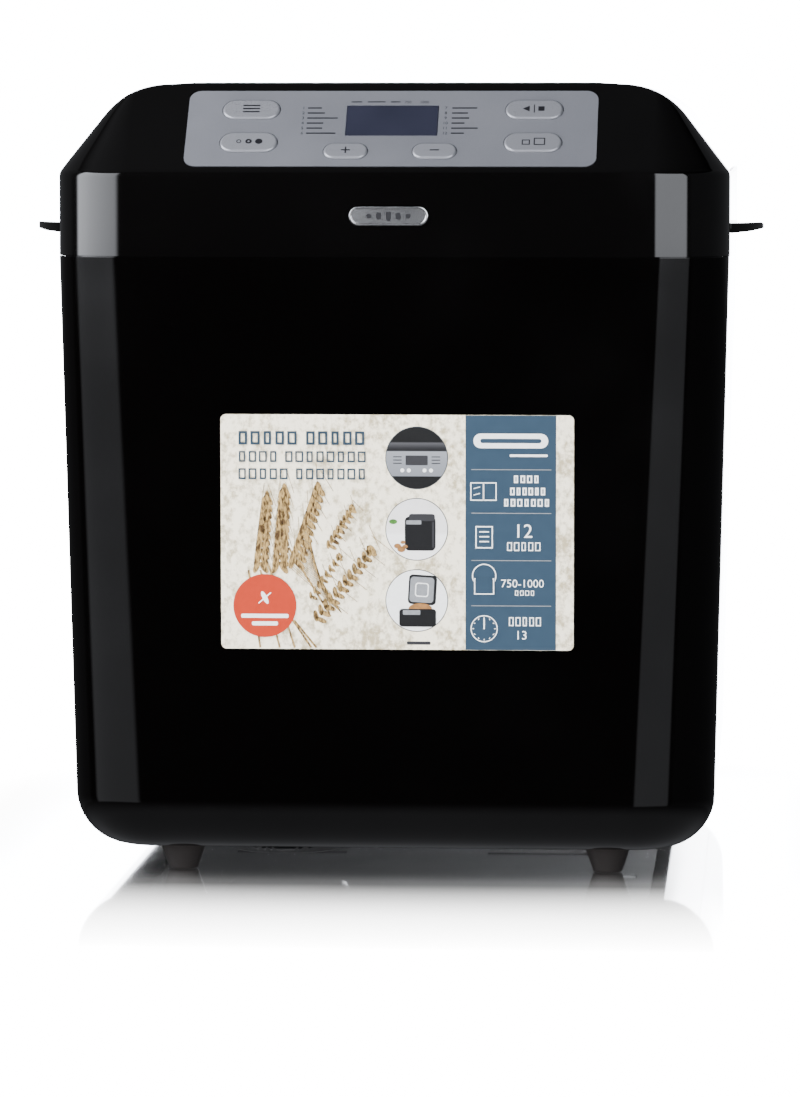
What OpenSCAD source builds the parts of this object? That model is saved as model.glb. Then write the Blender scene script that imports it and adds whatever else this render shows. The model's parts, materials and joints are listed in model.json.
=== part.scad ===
// Bread machine: plastic casing, hinged lid, oven chamber, belt drive and lift-out bread pan.
// Millimetres. +Z is up and the front faces -Y. The origin is on the table under the middle.

/* [Body] */
// Width of the housing
body_w = 250; // [225:1:300]
// Depth of the housing, from the front wall to the rear wall
body_d = 322; // [300:1:390]
// Height from the table to the crown of the lid
body_h = 296; // [285:1:350]
// Height of the sloping cap, from its shoulder to the crown
cap_h = 33.5; // [32:0.5:38]
// Height of the upright band of the top housing, from the seam to the shoulder
band_h = 31; // [26:1:40]
// Radius of the upright corners
corner_r = 26; // [20:1:34]
// Radius of the lid's two rear corners
rear_r = 44; // [30:1:50]
// Wall thickness of the plastic shells
wall = 2.5; // [2:0.1:3]
// Slope of the two side faces of the cap, from level
side_slope = 52; // [48:1:58]
// Radius that rounds the side faces into the top
crown_r = 30; // [24:1:34]
// Inward lean of the lower casing's sides
side_draft = 1.3; // [0:0.1:2.5]
// Inward lean of the lower casing's front and back
front_draft = 1; // [0:0.1:2]
// Radius that rounds the lower casing into its underside
bottom_r = 20; // [12:1:24]
// Width of the open joint line between two shells
seam_gap = 0.8; // [0.4:0.1:1.2]

/* [Feet and grips] */
// Height of a rubber foot
foot_h = 10; // [8:0.5:16]
// Radius of a foot at its top
foot_r = 8.75; // [6:0.25:11]
// Distance from the middle to a foot, side to side
foot_x = 80; // [70:1:84]
// Distance from the front or rear wall to a foot
foot_y = 35; // [33:1:45]
// How far a side grip stands out
grip_out = 12.4; // [8:0.2:18]
// Length of a side grip along the housing
grip_len = 62; // [40:1:90]
// Thickness of a side grip at its root
grip_t = 3.8; // [3:0.1:6]

/* [Control panel] */
// Slope of the control panel, from level
panel_tilt = 45; // [45:1:47]
// Width of the silver fascia
fascia_w = 152; // [148:1:156]
// Length of the fascia, up the slope
fascia_l = 39; // [38:0.5:40]
// Thickness of the fascia
fascia_t = 0.8; // [0.6:0.1:1.2]
// Width of a large button
key_w = 21.5; // [19:0.5:24]
// Width of a plus or minus button
step_key_w = 16.5; // [14:0.5:19]
// Height of a large button, up the slope
key_l = 10; // [8:0.5:11]
// Travel of a button
key_travel = 0.8; // [0.5:0.1:1]
// Width of the display window
display_w = 34; // [30:1:38]
// Height of the display window, up the slope
display_l = 15.5; // [13:0.5:17]

/* [Lid] */
// Width of the viewing window
window_w = 132; // [100:1:150]
// Depth of the viewing window
window_d = 120; // [90:1:140]
// Radius of the hinge pin
hinge_pin_r = 2.5; // [2:0.1:3]
// Width of the hinge knuckle
knuckle_w = 56; // [40:1:70]

/* [Oven and pan] */
// Inside width of the oven chamber
oven_w = 212; // [208:1:216]
// Inside depth of the oven chamber
oven_d = 188; // [184:1:194]
// Height of the oven floor above the table
oven_floor = 78; // [76:1:90]
// Outside width of the bread pan
pan_w = 170; // [150:1:172]
// Outside depth of the bread pan
pan_d = 140; // [120:1:142]
// Height of the bread pan
pan_h = 144; // [120:1:148]
// Radius of the bread pan's upright corners
pan_r = 26; // [20:1:34]
// Wall thickness of the bread pan
pan_wall = 1.6; // [1.2:0.1:2.4]
// Radius of the kneading paddle's sweep
paddle_r = 38; // [30:1:50]

/* [Drive] */
// Radius of the drive shaft
drive_shaft_r = 5; // [4:0.5:6]
// Radius of the large pulley
big_pulley_r = 48; // [40:1:52]
// Radius of the motor pulley
small_pulley_r = 8; // [7:0.5:10]
// Width of the drive belt
belt_w = 8; // [6:0.5:10]
// Side of the motor's lamination stack
stator_w = 78; // [66:1:80]
// Height of the lamination stack
stator_h = 40; // [30:1:50]
// Radius of the motor shaft
motor_shaft_r = 4; // [3:0.5:5]

/* [Hidden] */

$fn = 64;
hull_fn = 32;
eps = 0.01;
fit = 0.05;            // running clearance of a shaft, on the radius
loose = 0.4;           // clearance around a part that moves or drops in

// Heights
shoulder_z = body_h - cap_h;
seam_z = shoulder_z - band_h;
base_z = foot_h;

// Front to back. The emblem is the foremost thing and the hinge cover the rearmost.
emblem_out = 1;
rear_out = 9;
front_y = -(body_d + rear_out + emblem_out) / 2 + emblem_out;
back_y = front_y + body_d;

// Lid and cap
split_y = front_y + cap_h + 3.5;      // rear face of the control housing
lid_gap = 1.2;
lid_front_y = split_y + lid_gap;
lid_z = shoulder_z + seam_gap;
top_bevel = 4;
crown_rise = 1;
rear_step = 6;                        // the lid's rear edge stands this far inside the back wall
chamfer_h = cap_h - crown_rise - crown_r * (1 - cos(side_slope));
casing_step = 0.2;                    // the lower casing stands this far inside the band

// Oven, pan and drive
rim_w = 5;
sheet = 1;
oven_y = back_y - 17 - oven_d / 2;
oven_r = 30;
pan_z = oven_floor + 18;
rim_out = 2.5;
chassis_z = 50;
chassis_t = 2;
seat_r = 34;
motor_x = -42;
motor_y = front_y + 49;
motor_z = chassis_z + chassis_t;
pulley_z = 24;
pulley_h = belt_w + 4;
board_t = 1.6;
inner_floor_z = base_z + 2 * wall;

// Hinge
hinge_y = back_y + 1;
hinge_z = shoulder_z + 9;
knuckle_r = 5.5;
ear_gap = 0.6;
ear_t = 6;
cover_r = rear_out - 1;
cover_w = knuckle_w + 2 * (ear_t + ear_gap) + 6;

// Panel: positions are across the machine, then up the slope from the fascia's lower edge
fascia_lift = 3;
recess = 0.5;
key_proud = 1;
key_depth = 1.8;
plunger_gap = key_travel + 0.2;
large_key_x = 52.5;
step_key_x = 16.4;
upper_row = 29;
lower_row = 12;
step_row = 7.6;
step_key_l = 8;
display_u = 23.5;
stem_r = 2;
stem_end = -5;
switch_h = 3.2;
board_n = stem_end - plunger_gap - 1 - switch_h;
LARGE_KEYS = [[-large_key_x, upper_row], [-large_key_x, lower_row],
    [large_key_x, upper_row], [large_key_x, lower_row]];
STEP_KEYS = [[-step_key_x, step_row], [step_key_x, step_row]];

FEET = [for (y = [front_y + foot_y, back_y - foot_y], x = [-foot_x, foot_x]) [x, y]];
POSTS = [for (y = [oven_y - 116, oven_y + 70], x = [-86, 86]) [x, y]];
OVEN_POSTS = [for (y = [oven_y - 66, oven_y + 66], x = [-80, 80]) [x, y]];

// Base plate, its screws and the cord gland
base_lip = 3.5;
base_open_w = body_w - 2 * (casing_step + (seam_z - base_z) * tan(side_draft) + bottom_r
    + base_lip + 1);
base_open_y0 = front_y + casing_step + (seam_z - base_z) * tan(front_draft) + bottom_r
    + base_lip + 1;
base_open_y1 = back_y + front_y - base_open_y0;
screw_r = 1.6;
head_r = 3;
head_h = 1.6;
screw_grip = 7;
gland_x = 70;
gland_z = 44;
gland_r = 8;
cord_r = 3.6;

// Emblem
emblem_z = seam_z + 15;

// Lid
window_y = oven_y - 8;
plate_z = shoulder_z + 4.2;
ceiling_z = shoulder_z + 23;
dome_w = oven_w - 16;
dome_y0 = oven_y - oven_d / 2 + 6;
dome_y1 = oven_y + oven_d / 2 - 8;
glass_w = 96;
glass_d = 84;

// Oven fittings
bearing_r = 11;
heater_r = 3.25;
heater_z = oven_floor + 26;
heater_x = oven_w / 2 - 6;
heater_y = oven_d / 2 - 6;
heater_turn = 20;
heater_end_x = 16;
insulator_r = 6;
sensor_x = 40;
sensor_z = heater_z + 34;
lug_out = 3;

// Motor
motor_bar_t = 3;
stator_z = motor_z + 16;
motor_top_z = stator_z + stator_h + 14;
rotor_r = stator_w * 0.3;

// Pan
ear_out = 2.2;
handle_z = pan_z + pan_h - 7;
wire_r = 2;
bush_r = 9;
pan_shaft_r = 4;

// ---- shared shapes ----

// Plan of a rounded box, centred on X, with its own front and rear corner radii
module plan(w, y0, y1, rf, rb) {
    translate([-w / 2, y0 + rf]) square([w, y1 - y0 - rf - rb]);
    translate([-w / 2 + rf, y0]) square([w - 2 * rf, rf + eps]);
    translate([-w / 2 + rb, y1 - rb - eps]) square([w - 2 * rb, rb + eps]);
    for (s = [-1, 1]) {
        translate([s * (w / 2 - rf), y0 + rf]) circle(r = rf);
        translate([s * (w / 2 - rb), y1 - rb]) circle(r = rb);
    }
}

module slab(z, h, w, y0, y1, rf, rb) {
    translate([0, 0, z]) linear_extrude(h) plan(w, y0, y1, rf, rb);
}

// Smooth shell through a list of levels: [height, side inset, front inset, back inset, rf, rb]
module loft(levels) {
    hull()
        for (l = levels, s = [-1, 1]) {
            translate([s * (body_w / 2 - l[1] - l[4]), front_y + l[2] + l[4], l[0]])
                cylinder(r = l[4], h = eps, $fn = hull_fn);
            translate([s * (body_w / 2 - l[1] - l[5]), back_y - l[3] - l[5], l[0]])
                cylinder(r = l[5], h = eps, $fn = hull_fn);
        }
}

// Pill outline along X
module pill(w, l) {
    square([w - l, l], center = true);
    for (s = [-1, 1]) translate([s * (w - l) / 2, 0]) circle(d = l);
}

module tube(r_out, r_in, h) {
    difference() {
        cylinder(r = r_out, h = h);
        translate([0, 0, -1]) cylinder(r = r_in, h = h + 2);
    }
}

// Frame of the control panel: X across, Y up the slope, Z out of the fascia
module on_panel() {
    translate([0, front_y, shoulder_z]) rotate([panel_tilt, 0, 0])
        translate([0, fascia_lift, 0]) children();
}

// Frame of the lower casing's front wall: X across, Y up the wall, Z outwards
module on_front() {
    translate([0, front_y + casing_step, seam_z]) rotate([90 + front_draft, 0, 0]) children();
}

// ---- levels of the shells ----

// Lower casing, drawn t inside its outer face
function low_level(z, cut, t) = [z,
    casing_step + (seam_z - z) * tan(side_draft) + cut + t,
    casing_step + (seam_z - z) * tan(front_draft) + cut + t,
    casing_step + (seam_z - z) * tan(front_draft) + cut + t,
    max(corner_r - cut - t, 2), max(corner_r - cut - t, 2)];
function low_levels(t, top) = concat(
    [for (a = [0:15:90]) low_level(base_z + t + (bottom_r - t) * (1 - cos(a)),
        (bottom_r - t) * (1 - sin(a)), t)],
    [low_level(top, 0, t)]);

// Cap, drawn t inside its outer face; the front follows the panel's slope
function back_inset(h) = rear_step + (h <= 12 ? 0 : 20 * (1 - sqrt(1 - pow((h - 12) / 23, 2))));
function slope_shift(t) = t * (1 - cos(panel_tilt)) / sin(panel_tilt);
function cap_level(h, s, t) = [shoulder_z + h - t, s + t, h / tan(panel_tilt) + slope_shift(t),
    back_inset(h) + t, max(corner_r - s - t, 2), rear_r - t];
function cap_levels(t) = concat(
    [for (z = [shoulder_z - 2 * t, shoulder_z - t + (t - slope_shift(t)) * tan(panel_tilt)])
        [z, t, t, rear_step + t, corner_r - t, rear_r - t]],
    [for (a = [side_slope:-side_slope / 5:0])
        let (h = chamfer_h + crown_r * (cos(a) - cos(side_slope)),
            s = chamfer_h / tan(side_slope) + crown_r * (sin(side_slope) - sin(a)))
        cap_level(h, s, t)],
    [[body_h - eps - t, body_w / 4, body_w / 4, body_w / 4, corner_r, corner_r]]);

// ---- outside shells ----

module lower_casing() {
    vent_w = 60;
    color([0.03, 0.03, 0.035]) difference() {
        union() {
            difference() {
                loft(low_levels(0, seam_z - seam_gap));
                loft(low_levels(wall, seam_z));
                slab(base_z - 1, wall + 2, base_open_w, base_open_y0, base_open_y1, 12, 12);
            }
            difference() {
                slab(seam_z - 5, 9, body_w - 2 * (wall + 0.3), front_y + wall + 0.3,
                    back_y - wall - 0.3, corner_r - wall, corner_r - wall);
                slab(seam_z - 6, 11, body_w - 2 * (wall + 2), front_y + wall + 2,
                    back_y - wall - 2, corner_r - wall - 2, corner_r - wall - 2);
            }
        }
        // cooling slots low in the rear wall
        for (k = [0:6]) translate([-vent_w - 20, back_y - 20, 60 + 8 * k])
            cube([vent_w, 40, 3.5]);
        // hole for the cord gland
        translate([gland_x, back_y - 20, gland_z]) rotate([-90, 0, 0])
            cylinder(r = gland_r, h = 40);
    }
}

module top_housing() {
    color([0.03, 0.03, 0.035]) difference() {
        union() {
            loft([[seam_z, 0, 0, 0, corner_r, corner_r],
                [shoulder_z - 1, 0, 0, 0, corner_r, corner_r],
                [shoulder_z - eps, 0.7, 0.7, 0.7, corner_r, corner_r]]);
            intersection() {
                loft(cap_levels(0));
                translate([-body_w, front_y - 1, seam_z]) cube([2 * body_w,
                    split_y - front_y + 1, body_h]);
            }
        }
        // inside of the band, up to the deck
        slab(seam_z - 1, shoulder_z - wall - seam_z + 1, body_w - 2 * wall, front_y + wall,
            back_y - wall, corner_r - wall, corner_r - wall);
        // inside of the control housing
        intersection() {
            loft(cap_levels(wall));
            translate([-body_w, front_y, seam_z]) cube([2 * body_w, split_y - wall - front_y,
                body_h]);
        }
        // mouth of the oven
        slab(shoulder_z - 2 * wall, 3 * wall, oven_w + 2 * sheet + 1, oven_y - oven_d / 2 - 1.5,
            oven_y + oven_d / 2 + 1.5, oven_r + 1, oven_r + 1);
        on_panel() {
            // seat of the fascia
            translate([0, fascia_l / 2, -recess]) linear_extrude(5)
                fascia_outline(fascia_w + 0.4, fascia_l + 0.4, 4.7);
            translate([0, 0, -8]) linear_extrude(10) key_holes(1);
            translate([-display_w / 2 - 1, display_u - display_l / 2 - 1, -8])
                cube([display_w + 2, display_l + 2, 10]);
        }
        // emblem pins
        for (s = [-1, 1]) translate([s * 8, front_y - 1, emblem_z]) rotate([-90, 0, 0])
            cylinder(r = 1, h = 6);
    }
}

module fascia_outline(w, l, r) {
    translate([-w / 2 + r, -l / 2]) square([w - 2 * r, l]);
    translate([-w / 2, -l / 2 + r]) square([w, l - 2 * r]);
    for (s = [-1, 1], t = [-1, 1]) translate([s * (w / 2 - r), t * (l / 2 - r)]) circle(r = r);
}

module key_holes(gap) {
    for (p = LARGE_KEYS) translate(p) pill(key_w + gap, key_l + gap);
    for (p = STEP_KEYS) translate(p) pill(step_key_w + gap, step_key_l + gap);
}

module base_plate() {
    color([0.06, 0.06, 0.065]) difference() {
        union() {
            slab(base_z, wall + eps, base_open_w - loose, base_open_y0 + loose / 2,
                base_open_y1 - loose / 2, 12 - loose / 2, 12 - loose / 2);
            slab(base_z + wall, wall, base_open_w + 2 * base_lip, base_open_y0 - base_lip,
                base_open_y1 + base_lip, 12, 12);
            // shallow bulge under the motor pulley
            translate([motor_x, motor_y, base_z - 3.4]) rotate_extrude()
                polygon([[0, 0], [20, 0], [22.5, 0.9], [24, 3.4 + eps], [0, 3.4 + eps]]);
        }
        translate([motor_x, motor_y, base_z - 1]) cylinder(r = 18, h = 2 * wall + 2);
        for (x = [-1, 1], k = [0:7]) translate([x * 50 - 22, oven_y - 56 + 16 * k, base_z - 1])
            cube([44, 5, 2 * wall + 2]);
        for (p = FEET) translate([p[0], p[1], base_z - 1]) cylinder(r = 2, h = 2 * wall + 2);
        for (p = POSTS) translate([p[0], p[1], base_z - 1]) {
            cylinder(r = screw_r, h = 2 * wall + 2);
            cylinder(r = head_r + 0.5, h = 1 + head_h);
        }
    }
}

// Screws that hold the base plate to the chassis posts, their heads sunk in the plate
module base_screws() {
    color("silver") for (p = POSTS) translate([p[0], p[1], base_z]) {
        cylinder(r = head_r, h = head_h);
        cylinder(r = screw_r, h = 2 * wall + screw_grip);
    }
}

// Rubber foot, a truncated cone with a rounded tread
module foot(k) {
    tread = foot_r - 3;
    color([0.08, 0.08, 0.08]) translate([FEET[k][0], FEET[k][1], 0]) difference() {
        union() {
            rotate_extrude() polygon(concat([[0, 0]],
                [for (a = [0:15:90]) [tread - 1.5 + 1.5 * sin(a), 1.5 - 1.5 * cos(a)]],
                [[foot_r - 0.4, foot_h - 1.2], [foot_r, foot_h - 0.6], [foot_r, foot_h],
                    [0, foot_h]]));
            translate([0, 0, foot_h - eps]) cylinder(r = 2, h = 2 * wall + 1);
        }
        translate([0, 0, -1]) cylinder(r = 1.2, h = 4);
    }
}

module front_label() {
    label_w = 130.5;
    label_l = 87;
    color([0.86, 0.84, 0.74]) on_front() translate([3, -101.5, 0.02]) linear_extrude(0.35)
        fascia_outline(label_w, label_l, 2);
}

module emblem() {
    color([0.75, 0.76, 0.78]) {
        translate([0, front_y, emblem_z]) rotate([90, 0, 0]) linear_extrude(emblem_out)
            pill(29, 7);
        for (s = [-1, 1]) translate([s * 8, front_y - 0.2, emblem_z]) rotate([-90, 0, 0])
            cylinder(r = 1, h = 3.5);
    }
}

// Side grip: a thin tongue, level on top and rising underneath to its tip. Its plan is the cap
// of a large circle, so its edge curves back into the housing.
module grip(side) {
    tip_t = 1.6;
    plan_r = (pow(grip_len / 2, 2) + pow(grip_out, 2)) / (2 * grip_out);
    grip_z = seam_z + 12;
    grip_y = front_y + 64;
    color([0.03, 0.03, 0.035]) intersection() {
        translate([side * (body_w / 2 + grip_out - plan_r), grip_y, grip_z - grip_t])
            cylinder(r = plan_r, h = grip_t, $fn = 128);
        translate([0, grip_y + grip_len, 0]) rotate([90, 0, 0]) linear_extrude(2 * grip_len)
            polygon([[side * body_w / 2, grip_z - grip_t],
                [side * (body_w / 2 + grip_out * 0.55), grip_z - grip_t + 0.5],
                [side * (body_w / 2 + grip_out), grip_z - (grip_t + tip_t) / 2 + 0.3],
                [side * (body_w / 2 + grip_out), grip_z - 0.7],
                [side * (body_w / 2 + grip_out - 1.2), grip_z],
                [side * body_w / 2, grip_z]]);
    }
}

module cord_gland() {
    color([0.1, 0.1, 0.1]) translate([gland_x, back_y - 10, gland_z]) rotate([-90, 0, 0])
        difference() {
            union() {
                cylinder(r = gland_r - 0.2, h = 12);
                translate([0, 0, 10]) cylinder(r = gland_r + 3, h = 3);
                translate([0, 0, 13]) rotate_extrude() polygon([[0, 0], [7.4, 0], [5.8, 4.5],
                    [0, 4.5]]);
            }
            translate([0, 0, -1]) cylinder(r = cord_r, h = 30);
        }
}

// ---- hinge ----

module hinge_bracket() {
    color([0.6, 0.61, 0.63]) {
        difference() {
            union() {
                translate([-cover_w / 2, back_y - 10, shoulder_z])
                    cube([cover_w, 9, 1.6]);
                for (s = [-1, 1]) translate([ear_x(s), 0, 0]) {
                    translate([0, back_y - 8, shoulder_z]) cube([ear_t, 9 + knuckle_r,
                        hinge_z - shoulder_z]);
                    translate([0, hinge_y, hinge_z]) rotate([0, 90, 0])
                        cylinder(r = knuckle_r, h = ear_t);
                }
            }
            translate([-cover_w, hinge_y, hinge_z]) rotate([0, 90, 0])
                cylinder(r = hinge_pin_r, h = 2 * cover_w);
        }
    }
}

function ear_x(s) = s > 0 ? knuckle_w / 2 + ear_gap : -knuckle_w / 2 - ear_gap - ear_t;

module hinge_pin() {
    color("silver") translate([-knuckle_w / 2 - ear_gap - ear_t, hinge_y, hinge_z])
        rotate([0, 90, 0]) cylinder(r = hinge_pin_r, h = knuckle_w + 2 * (ear_gap + ear_t));
}

// Cover behind the hinge: a skirt on the rear wall that turns up around the knuckle
module hinge_cover() {
    skirt_z = shoulder_z - 24;
    turn_r = knuckle_r + 0.7;
    color([0.05, 0.05, 0.055]) difference() {
        union() {
            translate([-cover_w / 2, hinge_y, hinge_z]) rotate([0, 90, 0])
                cylinder(r = cover_r, h = cover_w);
            translate([-cover_w / 2, back_y, skirt_z]) cube([cover_w, 1 + cover_r,
                hinge_z - skirt_z]);
        }
        translate([-cover_w / 2 - 1, hinge_y, hinge_z]) rotate([0, 90, 0])
            cylinder(r = turn_r, h = cover_w + 2);
        translate([-cover_w, hinge_y - 20, hinge_z]) cube([2 * cover_w, 40, 20]);
        translate([-cover_w, hinge_y - 21, shoulder_z - 1]) cube([2 * cover_w, 21, 40]);
        translate([-cover_w / 2 + 2, back_y - 1, skirt_z + 2])
            cube([cover_w - 4, 1 + cover_r, hinge_z - skirt_z - 12]);
        translate([-cover_w / 2 + 2, back_y - 1, shoulder_z - 3])
            cube([cover_w - 4, 1 + hinge_y - back_y + turn_r, 13]);
    }
}

// ---- lid ----

module lid_shell() {
    cy = window_y;
    color([0.03, 0.03, 0.035]) difference() {
        intersection() {
            loft(cap_levels(0));
            translate([-body_w, lid_front_y, lid_z]) cube([2 * body_w, 2 * body_d, body_h]);
        }
        intersection() {
            loft(cap_levels(wall));
            translate([-body_w, lid_front_y + wall, shoulder_z - 20])
                cube([2 * body_w, 2 * body_d, body_h]);
        }
        // bevel along the front edge
        translate([-body_w, lid_front_y, body_h - top_bevel]) rotate([45, 0, 0])
            cube([2 * body_w, 20, 20]);
        // window opening, with a step for the pane
        slab(body_h - 20, 30, window_w, cy - window_d / 2, cy + window_d / 2, 14, 14);
        slab(body_h - crown_rise - 1.5, 30, window_w + 8, cy - window_d / 2 - 4,
            cy + window_d / 2 + 4, 18, 18);
        // room for the hinge
        translate([-cover_w / 2 - 1, hinge_y - cover_r - 3.5, shoulder_z - 1])
            cube([cover_w + 2, 40, cap_h + 10]);
    }
}

module lid_window() {
    color([0.14, 0.14, 0.15, 0.7]) slab(body_h - crown_rise - 1.5, 2.2, window_w + 7,
        window_y - window_d / 2 - 3.5, window_y + window_d / 2 + 3.5, 17.5, 17.5);
}

// Pressed metal liner: a flat border, a raised dome over the pan and a hole for the glass
module lid_inner_plate() {
    inset = wall + 1 + (plate_z + sheet - shoulder_z + wall) / tan(side_slope);
    color([0.72, 0.72, 0.7]) difference() {
        union() {
            slab(plate_z, sheet, body_w - 2 * inset, lid_front_y + wall + 1,
                back_y - 22, 8, 30);
            slab(plate_z, ceiling_z - plate_z, dome_w, dome_y0, dome_y1, 28, 28);
        }
        slab(plate_z - 1, ceiling_z - plate_z + 1 - sheet, dome_w - 2 * sheet, dome_y0 + sheet,
            dome_y1 - sheet, 27, 27);
        slab(ceiling_z - 5, 10, glass_w, window_y - glass_d / 2, window_y + glass_d / 2, 8, 8);
    }
}

module lid_glass() {
    color([0.8, 0.85, 0.85, 0.5]) slab(ceiling_z, 3, glass_w + 14,
        window_y - glass_d / 2 - 7, window_y + glass_d / 2 + 7, 12, 12);
}

// Silicone ring between the liner and the oven's rim
module lid_seal() {
    gap = 0.3;
    z0 = shoulder_z + sheet + gap;
    color([0.12, 0.12, 0.12]) difference() {
        slab(z0, plate_z - z0, oven_w + 4, oven_y - oven_d / 2 - 2, oven_y + oven_d / 2 + 2, 32,
            32);
        slab(z0 - 1, 10, oven_w - 8, oven_y - oven_d / 2 + 4, oven_y + oven_d / 2 - 4, 26, 26);
    }
}

module lid_hinge_arm() {
    arm_y = back_y - 21;
    color([0.05, 0.05, 0.055]) difference() {
        union() {
            translate([-knuckle_w / 2, arm_y, hinge_z - knuckle_r + 2])
                cube([knuckle_w, hinge_y - arm_y, 2 * knuckle_r - 2]);
            translate([-knuckle_w / 2, hinge_y, hinge_z]) rotate([0, 90, 0])
                cylinder(r = knuckle_r, h = knuckle_w);
            translate([-knuckle_w / 2, dome_y1 + 1, plate_z + sheet])
                cube([knuckle_w, hinge_y - cover_r - 3 - dome_y1, 8]);
        }
        translate([-knuckle_w, hinge_y, hinge_z]) rotate([0, 90, 0])
            cylinder(r = hinge_pin_r + fit, h = 2 * knuckle_w);
        translate([-knuckle_w, arm_y - 40, plate_z]) cube([2 * knuckle_w, 40, 5]);
        translate([-knuckle_w, arm_y - 5, plate_z - 5]) cube([2 * knuckle_w, 5.5, 5 + sheet]);
    }
}

// ---- control panel ----

module control_fascia() {
    color([0.6, 0.61, 0.65]) on_panel() difference() {
        translate([0, fascia_l / 2, -recess]) linear_extrude(fascia_t)
            fascia_outline(fascia_w, fascia_l, 4.5);
        translate([0, 0, -5]) linear_extrude(10) key_holes(2 * 0.3);
        translate([-display_w / 2, display_u - display_l / 2, -5])
            cube([display_w, display_l, 10]);
    }
}

module display_lens() {
    color([0.16, 0.17, 0.22]) on_panel() translate([-display_w / 2, display_u - display_l / 2,
        -recess - 1]) cube([display_w, display_l, 1 + fascia_t]);
}

module display_module() {
    color([0.35, 0.42, 0.4]) on_panel() translate([-display_w / 2 - 4,
        display_u - display_l / 2 - 0.8, board_n + 1]) difference() {
        cube([display_w + 8, display_l + 1.6, -wall - 0.4 - board_n - 1]);
        translate([3, 1, 0.5]) cube([display_w + 2, display_l - 0.4, 20]);
    }
}

module control_board() {
    color([0.05, 0.3, 0.15]) on_panel() difference() {
        union() {
            translate([-66, 3.2, board_n - board_t]) cube([132, 29.3, board_t]);
            for (p = concat(LARGE_KEYS, STEP_KEYS)) translate([p[0], p[1], board_n]) {
                translate([-3, -3, -eps]) cube([6, 6, switch_h + eps]);
                cylinder(r = 1.7, h = switch_h + 1);
            }
        }
        for (s = [-1, 1]) translate([s * 62, 20.5, board_n - 5]) cylinder(r = 1.6, h = 10);
    }
}

// A push button: a pillow-edged pill with a stem that meets its switch
module key(x, u, w, l) {
    edge = 0.5;
    color([0.62, 0.63, 0.67]) on_panel() translate([x, u, 0]) {
        translate([0, 0, -key_depth]) linear_extrude(key_depth + key_proud - edge) pill(w, l);
        translate([0, 0, key_proud - edge - eps]) linear_extrude(edge + eps)
            pill(w - 2 * edge, l - 2 * edge);
        translate([0, 0, stem_end]) cylinder(r = stem_r, h = -stem_end - key_depth + eps);
    }
}

module large_key(k) {
    key(LARGE_KEYS[k][0], LARGE_KEYS[k][1], key_w, key_l);
}

module step_key(k) {
    key(STEP_KEYS[k][0], STEP_KEYS[k][1], step_key_w, step_key_l);
}

// ---- oven ----

module at_drive() {
    translate([0, oven_y, 0]) children();
}

module at_motor() {
    translate([motor_x, motor_y, 0]) children();
}

module oven_chamber() {
    y0 = oven_y - oven_d / 2;
    y1 = oven_y + oven_d / 2;
    color([0.66, 0.66, 0.64]) difference() {
        union() {
            slab(oven_floor, shoulder_z - oven_floor + eps, oven_w + 2 * sheet, y0 - sheet,
                y1 + sheet, oven_r + sheet, oven_r + sheet);
            slab(shoulder_z, sheet, oven_w + 2 * rim_w, y0 - rim_w, y1 + rim_w, oven_r + rim_w,
                oven_r + rim_w);
        }
        slab(oven_floor + sheet, shoulder_z, oven_w, y0, y1, oven_r, oven_r);
        at_drive() translate([0, 0, oven_floor - 1]) cylinder(r = bearing_r + 1, h = 5);
        for (s = [-1, 1]) translate([s * heater_end_x, y0 - 5, heater_z]) rotate([-90, 0, 0])
            cylinder(r = insulator_r, h = 10);
        translate([sensor_x, y0 - 5, sensor_z]) rotate([-90, 0, 0]) cylinder(r = 3, h = 10);
    }
}

module bent_tube(r, turn) {
    rotate_extrude(angle = 90) translate([turn, 0]) circle(r = r, $fn = 24);
}

module rod(from, dir, len, r) {
    translate(from) rotate(dir) cylinder(r = r, h = len, $fn = 24);
}

// Tubular element: one turn around the foot of the pan, both ends out through the front wall
module heating_element() {
    lx = heater_x - heater_turn;
    ly = heater_y - heater_turn;
    tail = 20;
    end_turn = 5;
    color([0.35, 0.33, 0.32]) translate([0, oven_y, heater_z]) {
        for (s = [-1, 1]) {
            rod([s * heater_x, -ly, 0], [-90, 0, 0], 2 * ly, heater_r);
            rod([s * heater_end_x, -heater_y - end_turn - tail, 0], [-90, 0, 0], tail, heater_r);
        }
        rod([-lx, heater_y, 0], [0, 90, 0], 2 * lx, heater_r);
        for (s = [0, 1]) mirror([s, 0, 0]) {
            translate([lx, ly, 0]) bent_tube(heater_r, heater_turn);
            translate([lx, -ly, 0]) rotate([0, 0, -90]) bent_tube(heater_r, heater_turn);
            rod([heater_end_x + end_turn, -heater_y, 0], [0, 90, 0],
                lx - heater_end_x - end_turn, heater_r);
            translate([heater_end_x + end_turn, -heater_y - end_turn, 0]) rotate([0, 0, 90])
                bent_tube(heater_r, end_turn);
        }
    }
}

module heater_insulators() {
    color([0.9, 0.88, 0.82]) for (s = [-1, 1])
        translate([s * heater_end_x, oven_y - oven_d / 2 - 9, heater_z]) rotate([-90, 0, 0])
            tube(insulator_r, heater_r, 9);
}

module temperature_sensors() {
    y0 = oven_y - oven_d / 2;
    color([0.7, 0.7, 0.72]) {
        translate([sensor_x, y0 - 8, sensor_z]) rotate([-90, 0, 0]) cylinder(r = 3, h = 14);
        translate([sensor_x + 16, y0 - sheet - 5, sensor_z - 6]) cube([12, 5, 12]);
    }
}

module pan_seat() {
    color([0.62, 0.62, 0.6]) at_drive() translate([0, 0, oven_floor + sheet]) {
        tube(seat_r + 10, bearing_r + 1, 2);
        translate([0, 0, 2 - eps]) tube(seat_r + 3, seat_r, 12 + eps);
        // lips that hold the pan's lugs down
        for (k = [0:3]) rotate(45 + 90 * k) translate([seat_r - lug_out, -3, 12])
            cube([lug_out + 1, 6, 2]);
    }
}

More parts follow.
